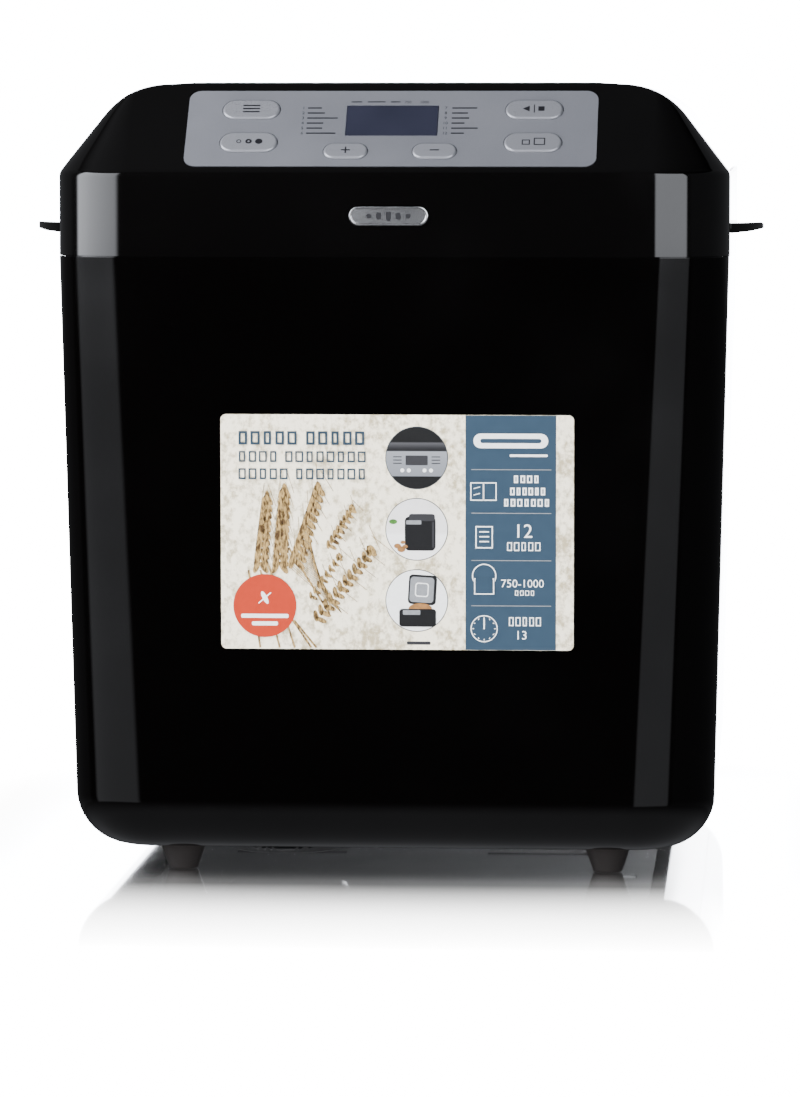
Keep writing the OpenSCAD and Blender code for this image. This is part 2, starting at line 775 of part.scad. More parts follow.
module heat_shield() {
    color([0.7, 0.7, 0.7]) difference() {
        translate([-95, oven_y - oven_d / 2 - 14, chassis_z + chassis_t])
            cube([190, sheet, 150]);
        for (s = [-1, 1]) translate([s * heater_end_x, oven_y - oven_d / 2 - 20, heater_z])
            rotate([-90, 0, 0]) cylinder(r = insulator_r + 1, h = 20);
    }
}

// ---- chassis ----

module chassis_plate() {
    color([0.6, 0.62, 0.63]) difference() {
        slab(chassis_z, chassis_t, 190, front_y + 10, oven_y + 84, 10, 10);
        at_drive() translate([0, 0, chassis_z - 1]) cylinder(r = bearing_r, h = 5);
        at_motor() translate([0, 0, chassis_z - 1]) cylinder(r = 14, h = 5);
        for (s = [-1, 1]) translate([s * 55, oven_y, chassis_z - 1]) cylinder(r = 16, h = 5);
    }
}

module standoffs() {
    color([0.7, 0.7, 0.72]) {
        for (p = POSTS) translate([p[0], p[1], inner_floor_z]) difference() {
            cylinder(r = 5, h = chassis_z - inner_floor_z);
            translate([0, 0, -1]) cylinder(r = screw_r, h = screw_grip + 2);
        }
        for (p = OVEN_POSTS) translate([p[0], p[1], chassis_z + chassis_t])
            cylinder(r = 5, h = oven_floor - chassis_z - chassis_t);
    }
}

module drive_bearing() {
    color([0.55, 0.45, 0.28]) at_drive() difference() {
        union() {
            translate([0, 0, chassis_z - 6]) cylinder(r = bearing_r, h = oven_floor + 8 - chassis_z);
            translate([0, 0, chassis_z + chassis_t]) cylinder(r = 20, h = 3);
        }
        translate([0, 0, chassis_z - 10]) cylinder(r = drive_shaft_r + fit, h = 60);
    }
}

// ---- drive ----

module drive_shaft() {
    color("silver") at_drive() translate([0, 0, pulley_z - 4])
        cylinder(r = drive_shaft_r, h = oven_floor + 7 - pulley_z + 4);
}

module drive_pulley() {
    rim = 5;
    hub = 12;
    color([0.9, 0.9, 0.86]) at_drive() translate([0, 0, pulley_z]) difference() {
        union() {
            tube(big_pulley_r, big_pulley_r - rim, pulley_h);
            for (z = [0, pulley_h - 1]) translate([0, 0, z])
                tube(big_pulley_r + 2, big_pulley_r - rim, 1);
            cylinder(r = hub, h = pulley_h + 4);
            for (k = [0:4]) rotate(72 * k) translate([hub - 2, -3, 3])
                cube([big_pulley_r - rim - hub + 3, 6, pulley_h - 6]);
        }
        translate([0, 0, -1]) cylinder(r = drive_shaft_r, h = pulley_h + 10);
    }
}

// Coupling on top of the drive shaft: a disc with two upright lugs
module drive_dog() {
    disc_z = oven_floor + 3.5;
    color([0.7, 0.7, 0.7]) at_drive() difference() {
        union() {
            translate([0, 0, disc_z]) cylinder(r = 18, h = 2.5);
            for (s = [0, 180]) rotate(s) translate([-4, 10, disc_z]) cube([8, 7, 9.5]);
        }
        translate([0, 0, disc_z - 1]) cylinder(r = drive_shaft_r, h = 10);
    }
}

module motor_rotor() {
    color([0.5, 0.5, 0.52]) at_motor() {
        translate([0, 0, pulley_z - 4]) cylinder(r = motor_shaft_r,
            h = motor_top_z + 8 - pulley_z + 4);
        translate([0, 0, stator_z]) cylinder(r = rotor_r, h = stator_h);
    }
}

module motor_pulley() {
    color([0.75, 0.75, 0.75]) at_motor() translate([0, 0, pulley_z]) difference() {
        union() {
            cylinder(r = small_pulley_r, h = pulley_h);
            for (z = [0, pulley_h - 1]) translate([0, 0, z]) cylinder(r = small_pulley_r + 2, h = 1);
        }
        translate([0, 0, -1]) cylinder(r = motor_shaft_r, h = pulley_h + 2);
    }
}

module motor_stator() {
    color([0.42, 0.42, 0.44]) at_motor() translate([0, 0, stator_z]) difference() {
        translate([-stator_w / 2, -stator_w / 2, 0]) cube([stator_w, stator_w, stator_h]);
        translate([0, 0, -1]) cylinder(r = rotor_r + 0.5, h = stator_h + 2);
        for (s = [-1, 1], t = [-1, 1]) translate([s * (stator_w / 2 - 6), t * (stator_w / 2 - 6),
            -1]) cylinder(r = 2.5, h = stator_h + 2);
    }
}

// End windings, above and below the stack
module motor_windings() {
    color([0.72, 0.38, 0.2]) at_motor() for (z = [stator_z - 9, stator_z + stator_h])
        translate([0, 0, z]) tube(stator_w / 2 - 5, rotor_r + 1.5, 9);
}

// Crossed bars with a bush in the middle, and four legs that reach leg beyond the bars
module motor_bracket(leg) {
    arm = stator_w / 2 - 6;
    bar_t = motor_bar_t;
    difference() {
        union() {
            for (a = [45, -45]) rotate(a) translate([-arm * sqrt(2) - 3, -4, 0])
                cube([2 * arm * sqrt(2) + 6, 8, bar_t]);
            cylinder(r = 13, h = bar_t);
            for (s = [-1, 1], t = [-1, 1]) translate([s * arm, t * arm, 0])
                cylinder(r = 5, h = bar_t + leg);
        }
        translate([0, 0, -50]) cylinder(r = motor_shaft_r + fit, h = 100);
        for (s = [-1, 1], t = [-1, 1]) translate([s * arm, t * arm, -50])
            cylinder(r = 2, h = 100);
    }
}

module motor_lower_bracket() {
    color([0.62, 0.62, 0.63]) at_motor() translate([0, 0, motor_z])
        motor_bracket(stator_z - motor_z - motor_bar_t);
}

module motor_upper_bracket() {
    color([0.62, 0.62, 0.63]) at_motor() translate([0, 0, motor_top_z]) mirror([0, 0, 1])
        motor_bracket(motor_top_z - stator_z - stator_h - motor_bar_t);
}

// Belt around both pulleys, just clear of their rims
module drive_belt() {
    gap = 0.3;
    thick = 1.4;
    color([0.1, 0.1, 0.1]) translate([0, 0, pulley_z + 2]) linear_extrude(belt_w) difference() {
        belt_loop(gap + thick);
        belt_loop(gap);
    }
}

module belt_loop(grow) {
    hull() {
        translate([0, oven_y]) circle(r = big_pulley_r + grow);
        translate([motor_x, motor_y]) circle(r = small_pulley_r + grow);
    }
}

module run_capacitor() {
    color([0.85, 0.86, 0.88]) translate([46, motor_y, chassis_z + chassis_t]) {
        cylinder(r = 17, h = 56);
        for (s = [-1, 1]) translate([s * 6 - 1, -3, 56 - eps]) cube([2, 6, 8]);
    }
}

module power_board() {
    y = front_y + 14;
    color([0.7, 0.55, 0.3]) {
        translate([14, y, 122]) cube([78, board_t, 84]);
        translate([22, y + board_t - eps, 132]) cube([26, 20, 24]);
        translate([62, y + board_t - eps, 136]) cube([16, 15, 20]);
        translate([60, y + board_t - eps + 8, 180]) rotate([-90, 0, 0]) cylinder(r = 7, h = 14);
        translate([60, y + board_t - eps, 180]) rotate([-90, 0, 0]) cylinder(r = 7, h = 9);
    }
}

// ---- bread pan ----

module bread_pan() {
    y0 = oven_y - pan_d / 2;
    y1 = oven_y + pan_d / 2;
    color([0.2, 0.2, 0.21]) difference() {
        union() {
            slab(pan_z, pan_h, pan_w, y0, y1, pan_r, pan_r);
            slab(pan_z + pan_h - 2, 2, pan_w + 2 * rim_out, y0 - rim_out, y1 + rim_out,
                pan_r + rim_out, pan_r + rim_out);
            // ears for the handle
            for (s = [-1, 1]) translate([s * (pan_w / 2 + ear_out / 2) - ear_out / 2,
                oven_y - 9, handle_z - 8]) cube([ear_out, 18, 12]);
        }
        slab(pan_z + pan_wall, pan_h, pan_w - 2 * pan_wall, y0 + pan_wall, y1 - pan_wall,
            pan_r - pan_wall, pan_r - pan_wall);
        at_drive() translate([0, 0, pan_z - 1]) cylinder(r = bush_r, h = 10);
        for (s = [-1, 1]) translate([s * (pan_w / 2 + ear_out) - 10, oven_y, handle_z])
            rotate([0, 90, 0]) cylinder(r = wire_r + fit, h = 20);
    }
}

module pan_base_ring() {
    z0 = oven_floor + sheet + 3.5;
    color([0.55, 0.55, 0.55]) at_drive() {
        translate([0, 0, z0]) tube(seat_r - lug_out - 1, seat_r - lug_out - 6, pan_z - z0);
        for (k = [0:3]) rotate(45 + 90 * k) translate([seat_r - lug_out - 2, -2.4, z0 + 4.5])
            cube([lug_out + 1.4, 4.8, 3]);
    }
}

module pan_bush() {
    color([0.72, 0.6, 0.35]) at_drive() translate([0, 0, pan_z - 4])
        tube(bush_r, pan_shaft_r + fit, 9);
}

// Wire bail, folded down around the rim; its ends hook into the pan's ears
module pan_handle() {
    hx = pan_w / 2 + ear_out + wire_r + 1.2;
    hy = pan_d / 2 + rim_out + wire_r + 1;
    turn = 16;
    color([0.7, 0.7, 0.7]) translate([0, oven_y, handle_z]) {
        for (s = [0, 1]) mirror([s, 0, 0]) {
            rod([pan_w / 2 - pan_wall - 0.5, 0, 0], [0, 90, 0], hx - pan_w / 2 + pan_wall + 0.5,
                wire_r);
            translate([hx, 0, 0]) sphere(r = wire_r, $fn = 24);
            rod([hx, 0, 0], [-90, 0, 0], hy - turn, wire_r);
            translate([hx - turn, hy - turn, 0]) bent_tube(wire_r, turn);
        }
        rod([-hx + turn, hy, 0], [0, 90, 0], 2 * (hx - turn), wire_r);
    }
}

// Shaft through the pan floor, with the wing that the drive's lugs push
module pan_shaft() {
    wing_z = oven_floor + 8.5;
    color([0.75, 0.75, 0.75]) at_drive() {
        translate([0, 0, wing_z]) cylinder(r = pan_shaft_r, h = pan_z + 27 - wing_z);
        translate([-17, -3.5, wing_z]) cube([34, 7, 4.5]);
    }
}

module kneading_paddle() {
    hub_r = 9;
    z0 = pan_z + 6.5;
    color([0.16, 0.16, 0.17]) at_drive() difference() {
        union() {
            translate([0, 0, z0]) cylinder(r1 = hub_r, r2 = hub_r - 2, h = 22);
            translate([0, 2.5, z0]) rotate([90, 0, 0]) linear_extrude(5)
                polygon([[0, 0], [paddle_r - 4, 0], [paddle_r, 4], [paddle_r - 3, 16],
                    [paddle_r - 12, 26], [14, 25], [0, 21]]);
        }
        translate([0, 0, z0 - 1]) cylinder(r = pan_shaft_r, h = 60);
    }
}

// ---- the parts ----

lower_casing();
top_housing();
base_plate();
base_screws();
front_label();
emblem();
grip(-1);  // left_grip
grip(1);  // right_grip
foot(0);  // front_left_foot
foot(1);  // front_right_foot
foot(2);  // rear_left_foot
foot(3);  // rear_right_foot
cord_gland();
hinge_cover();
hinge_bracket();
hinge_pin();
control_fascia();
display_lens();
display_module();
control_board();
oven_chamber();
heating_element();
heater_insulators();
temperature_sensors();
pan_seat();
drive_bearing();
chassis_plate();
standoffs();
drive_belt();
motor_stator();
motor_windings();
motor_lower_bracket();
motor_upper_bracket();
run_capacitor();
power_board();
heat_shield();
drive_shaft();
drive_pulley();
drive_dog();
motor_rotor();
motor_pulley();
lid_shell();
lid_window();
lid_glass();
lid_inner_plate();
lid_seal();
lid_hinge_arm();
bread_pan();
pan_base_ring();
pan_bush();
pan_handle();
pan_shaft();
kneading_paddle();
large_key(0);  // menu_button
large_key(1);  // color_button
step_key(0);  // plus_button
step_key(1);  // minus_button
large_key(2);  // start_button
large_key(3);  // size_button
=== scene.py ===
"""Bread machine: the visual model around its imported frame, with its stage."""

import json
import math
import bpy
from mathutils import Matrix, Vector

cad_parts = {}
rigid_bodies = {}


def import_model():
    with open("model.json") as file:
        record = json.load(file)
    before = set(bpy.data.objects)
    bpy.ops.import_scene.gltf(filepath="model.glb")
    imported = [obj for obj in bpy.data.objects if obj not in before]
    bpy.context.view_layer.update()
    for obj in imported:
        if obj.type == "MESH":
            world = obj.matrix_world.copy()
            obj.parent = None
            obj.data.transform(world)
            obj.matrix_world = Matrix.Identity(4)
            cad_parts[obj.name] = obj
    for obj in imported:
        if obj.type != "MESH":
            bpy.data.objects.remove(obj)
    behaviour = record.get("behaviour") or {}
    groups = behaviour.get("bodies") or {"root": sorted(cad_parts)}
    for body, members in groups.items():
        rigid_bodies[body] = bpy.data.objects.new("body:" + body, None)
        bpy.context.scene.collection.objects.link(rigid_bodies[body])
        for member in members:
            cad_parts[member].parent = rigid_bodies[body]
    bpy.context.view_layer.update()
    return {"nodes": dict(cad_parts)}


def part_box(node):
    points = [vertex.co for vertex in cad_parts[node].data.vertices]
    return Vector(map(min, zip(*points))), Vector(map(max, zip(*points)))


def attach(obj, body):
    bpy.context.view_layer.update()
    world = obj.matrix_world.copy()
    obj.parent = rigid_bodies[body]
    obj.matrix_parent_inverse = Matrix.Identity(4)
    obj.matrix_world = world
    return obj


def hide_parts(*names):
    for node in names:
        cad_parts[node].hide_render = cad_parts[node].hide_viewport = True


bl_info = {
    "name": "Bread machine",
    "version": (1, 0, 0),
    "blender": (4, 5, 0),
    "location": "3D View > Sidebar > Bread machine",
    "description": "Builds the bread machine's casing, lid, panel, oven and drive",
    "category": "Add Mesh",
}

import bpy
from mathutils import Euler, Matrix, Vector

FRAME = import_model()
MM = 0.001

# Sizes that the frame gives, in metres
BAND_LOW, BAND_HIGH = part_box("top_housing")
LID_LOW, LID_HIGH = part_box("lid_shell")
CASING_LOW, CASING_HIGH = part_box("lower_casing")
OVEN_LOW, OVEN_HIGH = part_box("oven_chamber")
FASCIA_LOW, FASCIA_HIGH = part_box("control_fascia")
LABEL_LOW, LABEL_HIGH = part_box("front_label")
EMBLEM_LOW, EMBLEM_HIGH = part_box("emblem")
WINDOW_LOW, WINDOW_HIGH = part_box("lid_window")
LINER_LOW, LINER_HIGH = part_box("lid_inner_plate")
HINGE_LOW, HINGE_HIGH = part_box("hinge_cover")
GLAND_LOW, GLAND_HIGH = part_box("cord_gland")
BODY_W = BAND_HIGH.x - BAND_LOW.x
FRONT_Y, BACK_Y = BAND_LOW.y, BAND_HIGH.y
SEAM_Z = BAND_LOW.z
SHOULDER_Z = OVEN_HIGH.z - 1 * MM
CROWN_Z = LID_HIGH.z
BASE_Z = CASING_LOW.z
LID_FRONT_Y = LID_LOW.y
LID_Z = LID_LOW.z
WALL = 2.5 * MM
CORNER_R = 26 * MM
BAND_R = 28 * MM
LID_REAR_R = 44 * MM
SIDE_SLOPE = math.radians(52)
PANEL_SLOPE = math.radians(45)
CROWN_R = 30 * MM
CROWN_RISE = 1 * MM
CAP_H = CROWN_Z - SHOULDER_Z
CHAMFER_H = CAP_H - CROWN_RISE - CROWN_R * (1 - math.cos(SIDE_SLOPE))
SPLIT_Y = LID_FRONT_Y - 1.2 * MM
PANEL_AT = Vector((0, FRONT_Y + 3 * MM * math.cos(PANEL_SLOPE),
                   SHOULDER_Z + 3 * MM * math.sin(PANEL_SLOPE)))
PANEL_TURN = Euler((PANEL_SLOPE, 0, 0))
FRONT_DRAFT = math.radians(1)
SIDE_DRAFT = math.radians(1.3)
CASING_STEP = 0.2 * MM
LABEL_AT = Vector((0, FRONT_Y + CASING_STEP, SEAM_Z))
LABEL_TURN = Euler((math.pi / 2 + FRONT_DRAFT, 0, 0))

# Middles of the label's round insets above its own, in mm, and half their shaded height
INSET_ROWS = {1: 27.6, 2: 1.2, 3: -25.2}
INSET_REACH = 11.4 * MM

# Height of one printed layer above the next, in mm
LAYER = 0.05

# The camera, fitted to the front view
CAMERA_AT = (0.1462, -2.1872, 0.2841)
CAMERA_PITCH = math.radians(4.51)
CAMERA_YAW = math.radians(4.016)
CAMERA_LENS = 181.06

# Keys of the panel: place across, place up the slope, width, length, CAD node, body
KEYS = [
    (-52.5, 29, 21.5, 10, "menu_button", "menu_key"),
    (-52.5, 12, 21.5, 10, "color_button", "color_key"),
    (-16.4, 7.6, 16.5, 8, "plus_button", "plus_key"),
    (16.4, 7.6, 16.5, 8, "minus_button", "minus_key"),
    (52.5, 29, 21.5, 10, "start_button", "start_key"),
    (52.5, 12, 21.5, 10, "size_button", "size_key"),
]


# ---- shader wiring ----

class Value:
    """A number in a material. Python's operators on it add Math nodes."""

    def __init__(self, tree, socket):
        self.tree, self.socket = tree, socket

    def math(self, operation, *terms):
        node = self.tree.nodes.new("ShaderNodeMath")
        node.operation = operation
        for slot, term in zip(node.inputs, terms):
            feed(self.tree, slot, term)
        return Value(self.tree, node.outputs[0])

    def __add__(self, other):
        return self.math("ADD", self, other)

    def __radd__(self, other):
        return self.math("ADD", other, self)

    def __sub__(self, other):
        return self.math("SUBTRACT", self, other)

    def __rsub__(self, other):
        return self.math("SUBTRACT", other, self)

    def __mul__(self, other):
        return self.math("MULTIPLY", self, other)

    def __rmul__(self, other):
        return self.math("MULTIPLY", other, self)

    def __gt__(self, other):
        return self.math("GREATER_THAN", self, other)

    def __abs__(self):
        return self.math("ABSOLUTE", self)

    def __pow__(self, other):
        return self.math("POWER", self, other)


def feed(tree, socket, value):
    """Links a Value to a socket, or sets the socket's own number or colour."""
    if isinstance(value, Value):
        tree.links.new(value.socket, socket)
    elif isinstance(value, (tuple, list)) and len(value) == 3 and socket.type == "RGBA":
        socket.default_value = (*value, 1)
    else:
        socket.default_value = value


def add_node(tree, kind, inputs=None, output=0, stops=None, **settings):
    """Adds any node: its settings first, then the values and links of its sockets."""
    node = tree.nodes.new(kind)
    for name, value in settings.items():
        setattr(node, name, value)
    if stops:
        ramp = node.color_ramp
        while len(ramp.elements) < len(stops):
            ramp.elements.new(1)
        for element, (place, color) in zip(ramp.elements, stops):
            element.position, element.color = place, (*color, 1)
    for name, value in (inputs or {}).items():
        feed(tree, node.inputs[name], value)
    return Value(tree, node.outputs[output])


class Finish:
    """A material in the making, with its Principled shader."""

    def __init__(self, name, **constants):
        self.material = bpy.data.materials.new(name)
        self.material.use_nodes = True
        self.tree = self.material.node_tree
        self.shader = self.tree.nodes["Principled BSDF"]
        self.place = self.add("ShaderNodeTexCoord", output=3)
        self.set(constants)

    def add(self, kind, inputs=None, output=0, **settings):
        return add_node(self.tree, kind, inputs, output, **settings)

    def set(self, sockets):
        for name, value in sockets.items():
            feed(self.tree, self.shader.inputs[name], value)

    def at(self, stretch):
        return self.add("ShaderNodeMapping", {"Vector": self.place, "Scale": stretch})

    def noise(self, scale, detail=3.0, stretch=(1, 1, 1), rough=0.5):
        return self.add("ShaderNodeTexNoise", {"Vector": self.at(stretch), "Scale": scale,
                                               "Detail": detail, "Roughness": rough})

    def cells(self, scale, stretch=(1, 1, 1), feature="F1"):
        return self.add("ShaderNodeTexVoronoi", {"Vector": self.at(stretch), "Scale": scale},
                        feature=feature)

    def range(self, value, low, high, to_low=0.0, to_high=1.0, smooth=True):
        return self.add("ShaderNodeMapRange",
                        {"Value": value, "From Min": low, "From Max": high, "To Min": to_low,
                         "To Max": to_high},
                        interpolation_type="SMOOTHSTEP" if smooth else "LINEAR")

    def mix(self, factor, first, second):
        node = self.tree.nodes.new("ShaderNodeMix")
        node.data_type = "RGBA"
        for slot, value in zip((node.inputs[0], node.inputs[6], node.inputs[7]),
                               (factor, first, second)):
            feed(self.tree, slot, value)
        return Value(self.tree, node.outputs[2])

    def bump(self, height, distance, strength=1.0):
        node = self.add("ShaderNodeBump", {"Height": height, "Distance": distance,
                                           "Strength": strength})
        self.set({"Normal": node})

    def axis(self, index):
        return self.add("ShaderNodeSeparateXYZ", {"Vector": self.place}, output=index)


def shade(color, factor):
    return tuple(channel * factor for channel in color)


def grained(name, color, rough, metal=0.0, grain=900, depth=0.00002, tone=0.85, spread=0.08,
            **constants):
    """A moulded, cast or pressed finish: cloudy tone, uneven gloss and a fine grain."""
    f = Finish(name, **{"Metallic": metal, **constants})
    cloud = f.noise(25, 4)
    fine = f.noise(grain, 2)
    f.set({
        "Base Color": f.mix(f.range(cloud * 0.6 + fine * 0.4, 0.3, 0.7), shade(color, tone),
                            color),
        "Roughness": f.range(cloud * 0.5 + fine * 0.5, 0.25, 0.75, max(rough - spread, 0.02),
                             rough + spread),
    })
    f.bump(fine, depth, 0.6)
    return f.material


def gloss_plastic(name, color, rough=0.07):
    """Polished plastic: deep tone, a little dust and the faint ripple of the mould."""
    f = Finish(name, **{"Specular IOR Level": 0.5, "Coat Roughness": 0.03, "Coat IOR": 1.5})
    ripple = f.noise(35, 1)
    dust = f.range(f.noise(2600, 2), 0.66, 0.8)
    haze = f.noise(14, 3)
    f.set({
        "Base Color": f.mix(dust * 0.1, color, (0.02, 0.02, 0.02)),
        "Roughness": f.range(haze, 0.3, 0.75, rough - 0.03, rough + 0.04) + dust * 0.08,
        "Coat Weight": f.range(haze, 0.3, 0.7, 0.15, 0.3),
    })
    f.bump(ripple, 0.00003, 0.25)
    return f.material


def brushed(name, color, rough, along):
    """Sheet metal with a drawn grain along one axis."""
    f = Finish(name, Metallic=1.0)
    lines = f.noise(60, 3, along, 0.7)
    cloud = f.noise(18, 3)
    f.set({
        "Base Color": f.mix(lines * 0.5 + cloud * 0.5, shade(color, 0.9), color),
        "Roughness": f.range(lines * 0.6 + cloud * 0.4, 0.3, 0.7, rough - 0.06, rough + 0.08),
    })
    f.bump(lines, 0.000006, 0.5)
    return f.material


def paint_silver():
    """Fine metallic lacquer on the panel: flakes, soft gloss and slight cloudiness."""
    f = Finish("silver_fascia", **{"Metallic": 0.6, "Coat Roughness": 0.25})
    flake = f.noise(9000, 1)
    cloud = f.noise(20, 3)
    f.set({
        "Base Color": f.mix(f.range(flake * 0.5 + cloud * 0.5, 0.35, 0.65),
                            (0.17, 0.176, 0.2), (0.22, 0.227, 0.255)),
        "Roughness": f.range(flake, 0.3, 0.7, 0.34, 0.46),
        "Coat Weight": f.range(cloud, 0.3, 0.7, 0.1, 0.2),
    })
    f.bump(flake, 0.000004, 0.4)
    return f.material


def display_face():
    """Dark liquid-crystal window behind a clear lens, with its faint cell grid."""
    f = Finish("display_window", **{"Coat Weight": 0.5, "Coat Roughness": 0.04})
    x = f.axis(0)
    grid = abs(x.math("FRACT", x * 1200) - 0.5) > 0.46
    glow = f.noise(60, 2)
    f.set({
        "Base Color": f.mix(grid * 0.5, f.mix(glow, (0.009, 0.01, 0.018), (0.015, 0.016, 0.028)),
                            (0.006, 0.0065, 0.01)),
        "Roughness": f.range(glow, 0.3, 0.7, 0.1, 0.16),
    })
    return f.material


def floury_paper():
    """Label ground: cream paper printed with coarse flour."""
    f = Finish("label_film", **{"Coat Weight": 0.15, "Coat Roughness": 0.2})
    crumbs = f.noise(420, 6, (1, 1, 0.8), 0.65)
    drift = f.noise(70, 4)
    light = f.noise(900, 4)
    f.set({
        "Base Color": f.mix(f.range(crumbs * 0.7 + drift * 0.3, 0.36, 0.56),
                            (0.4, 0.34, 0.22), (0.9, 0.83, 0.66)),
        "Roughness": f.range(light, 0.3, 0.7, 0.42, 0.55),
    })
    f.bump(crumbs * 0.7 + light * 0.3, 0.00012, 0.4)
    return f.material


def ink(name, color, rough=0.45, tone=0.88, grain=700):
    """Printed ink: flat tone with the slight mottle of a label press."""
    f = Finish(name, **{"Coat Weight": 0.1, "Coat Roughness": 0.25})
    mottle = f.noise(grain, 4)
    f.set({
        "Base Color": f.mix(f.range(mottle, 0.35, 0.65), shade(color, tone), color),
        "Roughness": f.range(mottle, 0.3, 0.7, rough - 0.05, rough + 0.05),
    })
    return f.material


def wheat_ink():
    """Golden straw, shaded from its dark hollows to its pale tips."""
    f = Finish("wheat_print", **{"Coat Weight": 0.1, "Coat Roughness": 0.25})
    strands = f.noise(1500, 4, (1, 1, 0.35))
    f.set({
        "Base Color": f.mix(f.range(strands, 0.35, 0.62), (0.045, 0.022, 0.005),
                            (0.36, 0.235, 0.085)),
        "Roughness": f.range(strands, 0.3, 0.7, 0.4, 0.55),
    })
    f.bump(strands, 0.0001, 0.4)
    return f.material


def smoked_pane():
    """Dark tinted pane, polished, with the faintest haze."""
    f = Finish("smoked_pane", **{"Specular IOR Level": 0.6, "Coat Roughness": 0.02})
    haze = f.noise(16, 3)
    f.set({
        "Base Color": f.mix(haze, (0.012, 0.012, 0.014), (0.022, 0.022, 0.025)),
        "Roughness": f.range(haze, 0.3, 0.7, 0.04, 0.09),
        "Coat Weight": f.range(haze, 0.3, 0.7, 0.3, 0.5),
        "Alpha": f.range(haze, 0.2, 0.8, 0.72, 0.78),
    })
    return f.material


def clear_glass():
    f = Finish("clear_glass", **{"Specular IOR Level": 0.6})
    haze = f.noise(22, 3)
    f.set({
        "Base Color": f.mix(haze, (0.5, 0.55, 0.54), (0.6, 0.64, 0.63)),
        "Roughness": f.range(haze, 0.3, 0.7, 0.03, 0.1),
        "Alpha": f.range(haze, 0.2, 0.8, 0.22, 0.3),
    })
    return f.material


def laminations():
    """Edge of a stack of steel sheets: a fine band for every sheet."""
    f = Finish("lamination_steel", **{"Metallic": 0.8})
    bands = f.axis(2).math("FRACT", f.axis(2) * 1600)
    stain = f.noise(40, 4)
    gap = f.range(abs(bands - 0.5), 0.38, 0.48)
    f.set({
        "Base Color": f.mix(gap, f.mix(stain, (0.2, 0.2, 0.21), (0.34, 0.34, 0.35)),
                            (0.03, 0.03, 0.032)),
        "Roughness": f.range(stain, 0.3, 0.7, 0.35, 0.5),
    })
    f.bump(1 - gap, 0.0001, 0.6)
    return f.material


def winding():
    """Enamelled copper wire, turn beside turn, each turn painted darker from its middle to its
    flanks as painted shade of the round wire.
    """
    f = Finish("copper_wire", **{"Metallic": 0.85})
    turns = f.axis(2).math("FRACT", (f.axis(2) + f.noise(60, 2) * 0.0006) * 1400)
    # painted shade: each turn darkens from its middle to the grooves at its sides; the same mask
    # also sets the bump
    turn_painted_shade_and_groove = f.range(abs(turns - 0.5), 0.1, 0.5)
    f.set({
        "Base Color": f.mix(turn_painted_shade_and_groove, (0.65, 0.27, 0.1), (0.16, 0.05, 0.02)),
        "Roughness": f.range(f.noise(300, 2), 0.3, 0.7, 0.25, 0.4),
    })
    f.bump(1 - turn_painted_shade_and_groove, 0.0003, 0.8)
    return f.material


def board_green():
    """Circuit board: solder mask with tracks and pads."""
    f = Finish("circuit_board", **{"Coat Weight": 0.3, "Coat Roughness": 0.15})
    tracks = f.cells(260, feature="DISTANCE_TO_EDGE")
    pads = f.range(f.cells(420), 0.12, 0.16)
    line = f.range(tracks, 0.05, 0.09)
    f.set({
        "Base Color": f.mix(pads, (0.5, 0.48, 0.4),
                            f.mix(line, (0.07, 0.3, 0.14), (0.02, 0.13, 0.06))),
        "Metallic": (1 - pads) * 0.8,
        "Roughness": f.range(f.noise(300, 2), 0.3, 0.7, 0.3, 0.45),
    })
    return f.material


def nonstick():
    """Baked-on release coating: charcoal with fine pale flecks."""
    f = Finish("nonstick_coating", **{"Coat Weight": 0.15, "Coat Roughness": 0.3})
    flecks = f.range(f.cells(1100), 0.12, 0.2)
    cloud = f.noise(40, 4)
    f.set({
        "Base Color": f.mix(flecks, (0.16, 0.16, 0.165),
                            f.mix(cloud, (0.035, 0.035, 0.037), (0.055, 0.055, 0.058))),
        "Roughness": f.range(cloud, 0.3, 0.7, 0.34, 0.48),
    })
    f.bump(f.noise(1600, 2), 0.00002, 0.6)
    return f.material


def inset_z(row):
    """Height of a round inset's middle on the front wall."""
    return (LABEL_LOW.z + LABEL_HIGH.z) / 2 + INSET_ROWS[row] * MM


def inset_height(f, row):
    """From 0 at the bottom of a round inset to 1 at its top."""
    return f.range(f.axis(2), inset_z(row) - INSET_REACH, inset_z(row) + INSET_REACH,
                   smooth=False)


def inset_panel_ink():
    """Round inset of the panel: black, a grey bevel, black, then the silver panel."""
    f = Finish("inset_panel_print", **{"Coat Weight": 0.1, "Coat Roughness": 0.25})
    tone = f.add("ShaderNodeValToRGB", {"Fac": inset_height(f, 1)}, stops=[
        (0.0, (0.001, 0.001, 0.001)), (0.2, (0.001, 0.001, 0.001)),
        (0.205, (0.15, 0.16, 0.18)), (0.6, (0.2, 0.21, 0.23)),
        (0.615, (0.001, 0.001, 0.001)), (0.665, (0.012, 0.012, 0.014)),
        (0.74, (0.05, 0.05, 0.055)), (0.76, (0.001, 0.001, 0.001)), (1.0, (0.002, 0.002, 0.002))])
    f.set({"Base Color": tone, "Roughness": f.range(f.noise(600, 2), 0.3, 0.7, 0.4, 0.5)})
    return f.material


def inset_room_ink():
    """Soft kitchen light behind the machine in a round inset."""
    f = Finish("inset_room_print", **{"Coat Weight": 0.1, "Coat Roughness": 0.25})
    tone = f.add("ShaderNodeValToRGB", {"Fac": inset_height(f, 2)}, stops=[
        (0.0, (0.8, 0.79, 0.78)), (0.4, (0.86, 0.86, 0.86)), (0.46, (0.62, 0.6, 0.58)),
        (1.0, (0.55, 0.52, 0.52))])
    f.set({"Base Color": f.mix(f.noise(220, 4), tone, (0.8, 0.8, 0.8)),
           "Roughness": f.range(f.noise(600, 2), 0.3, 0.7, 0.4, 0.5)})
    return f.material


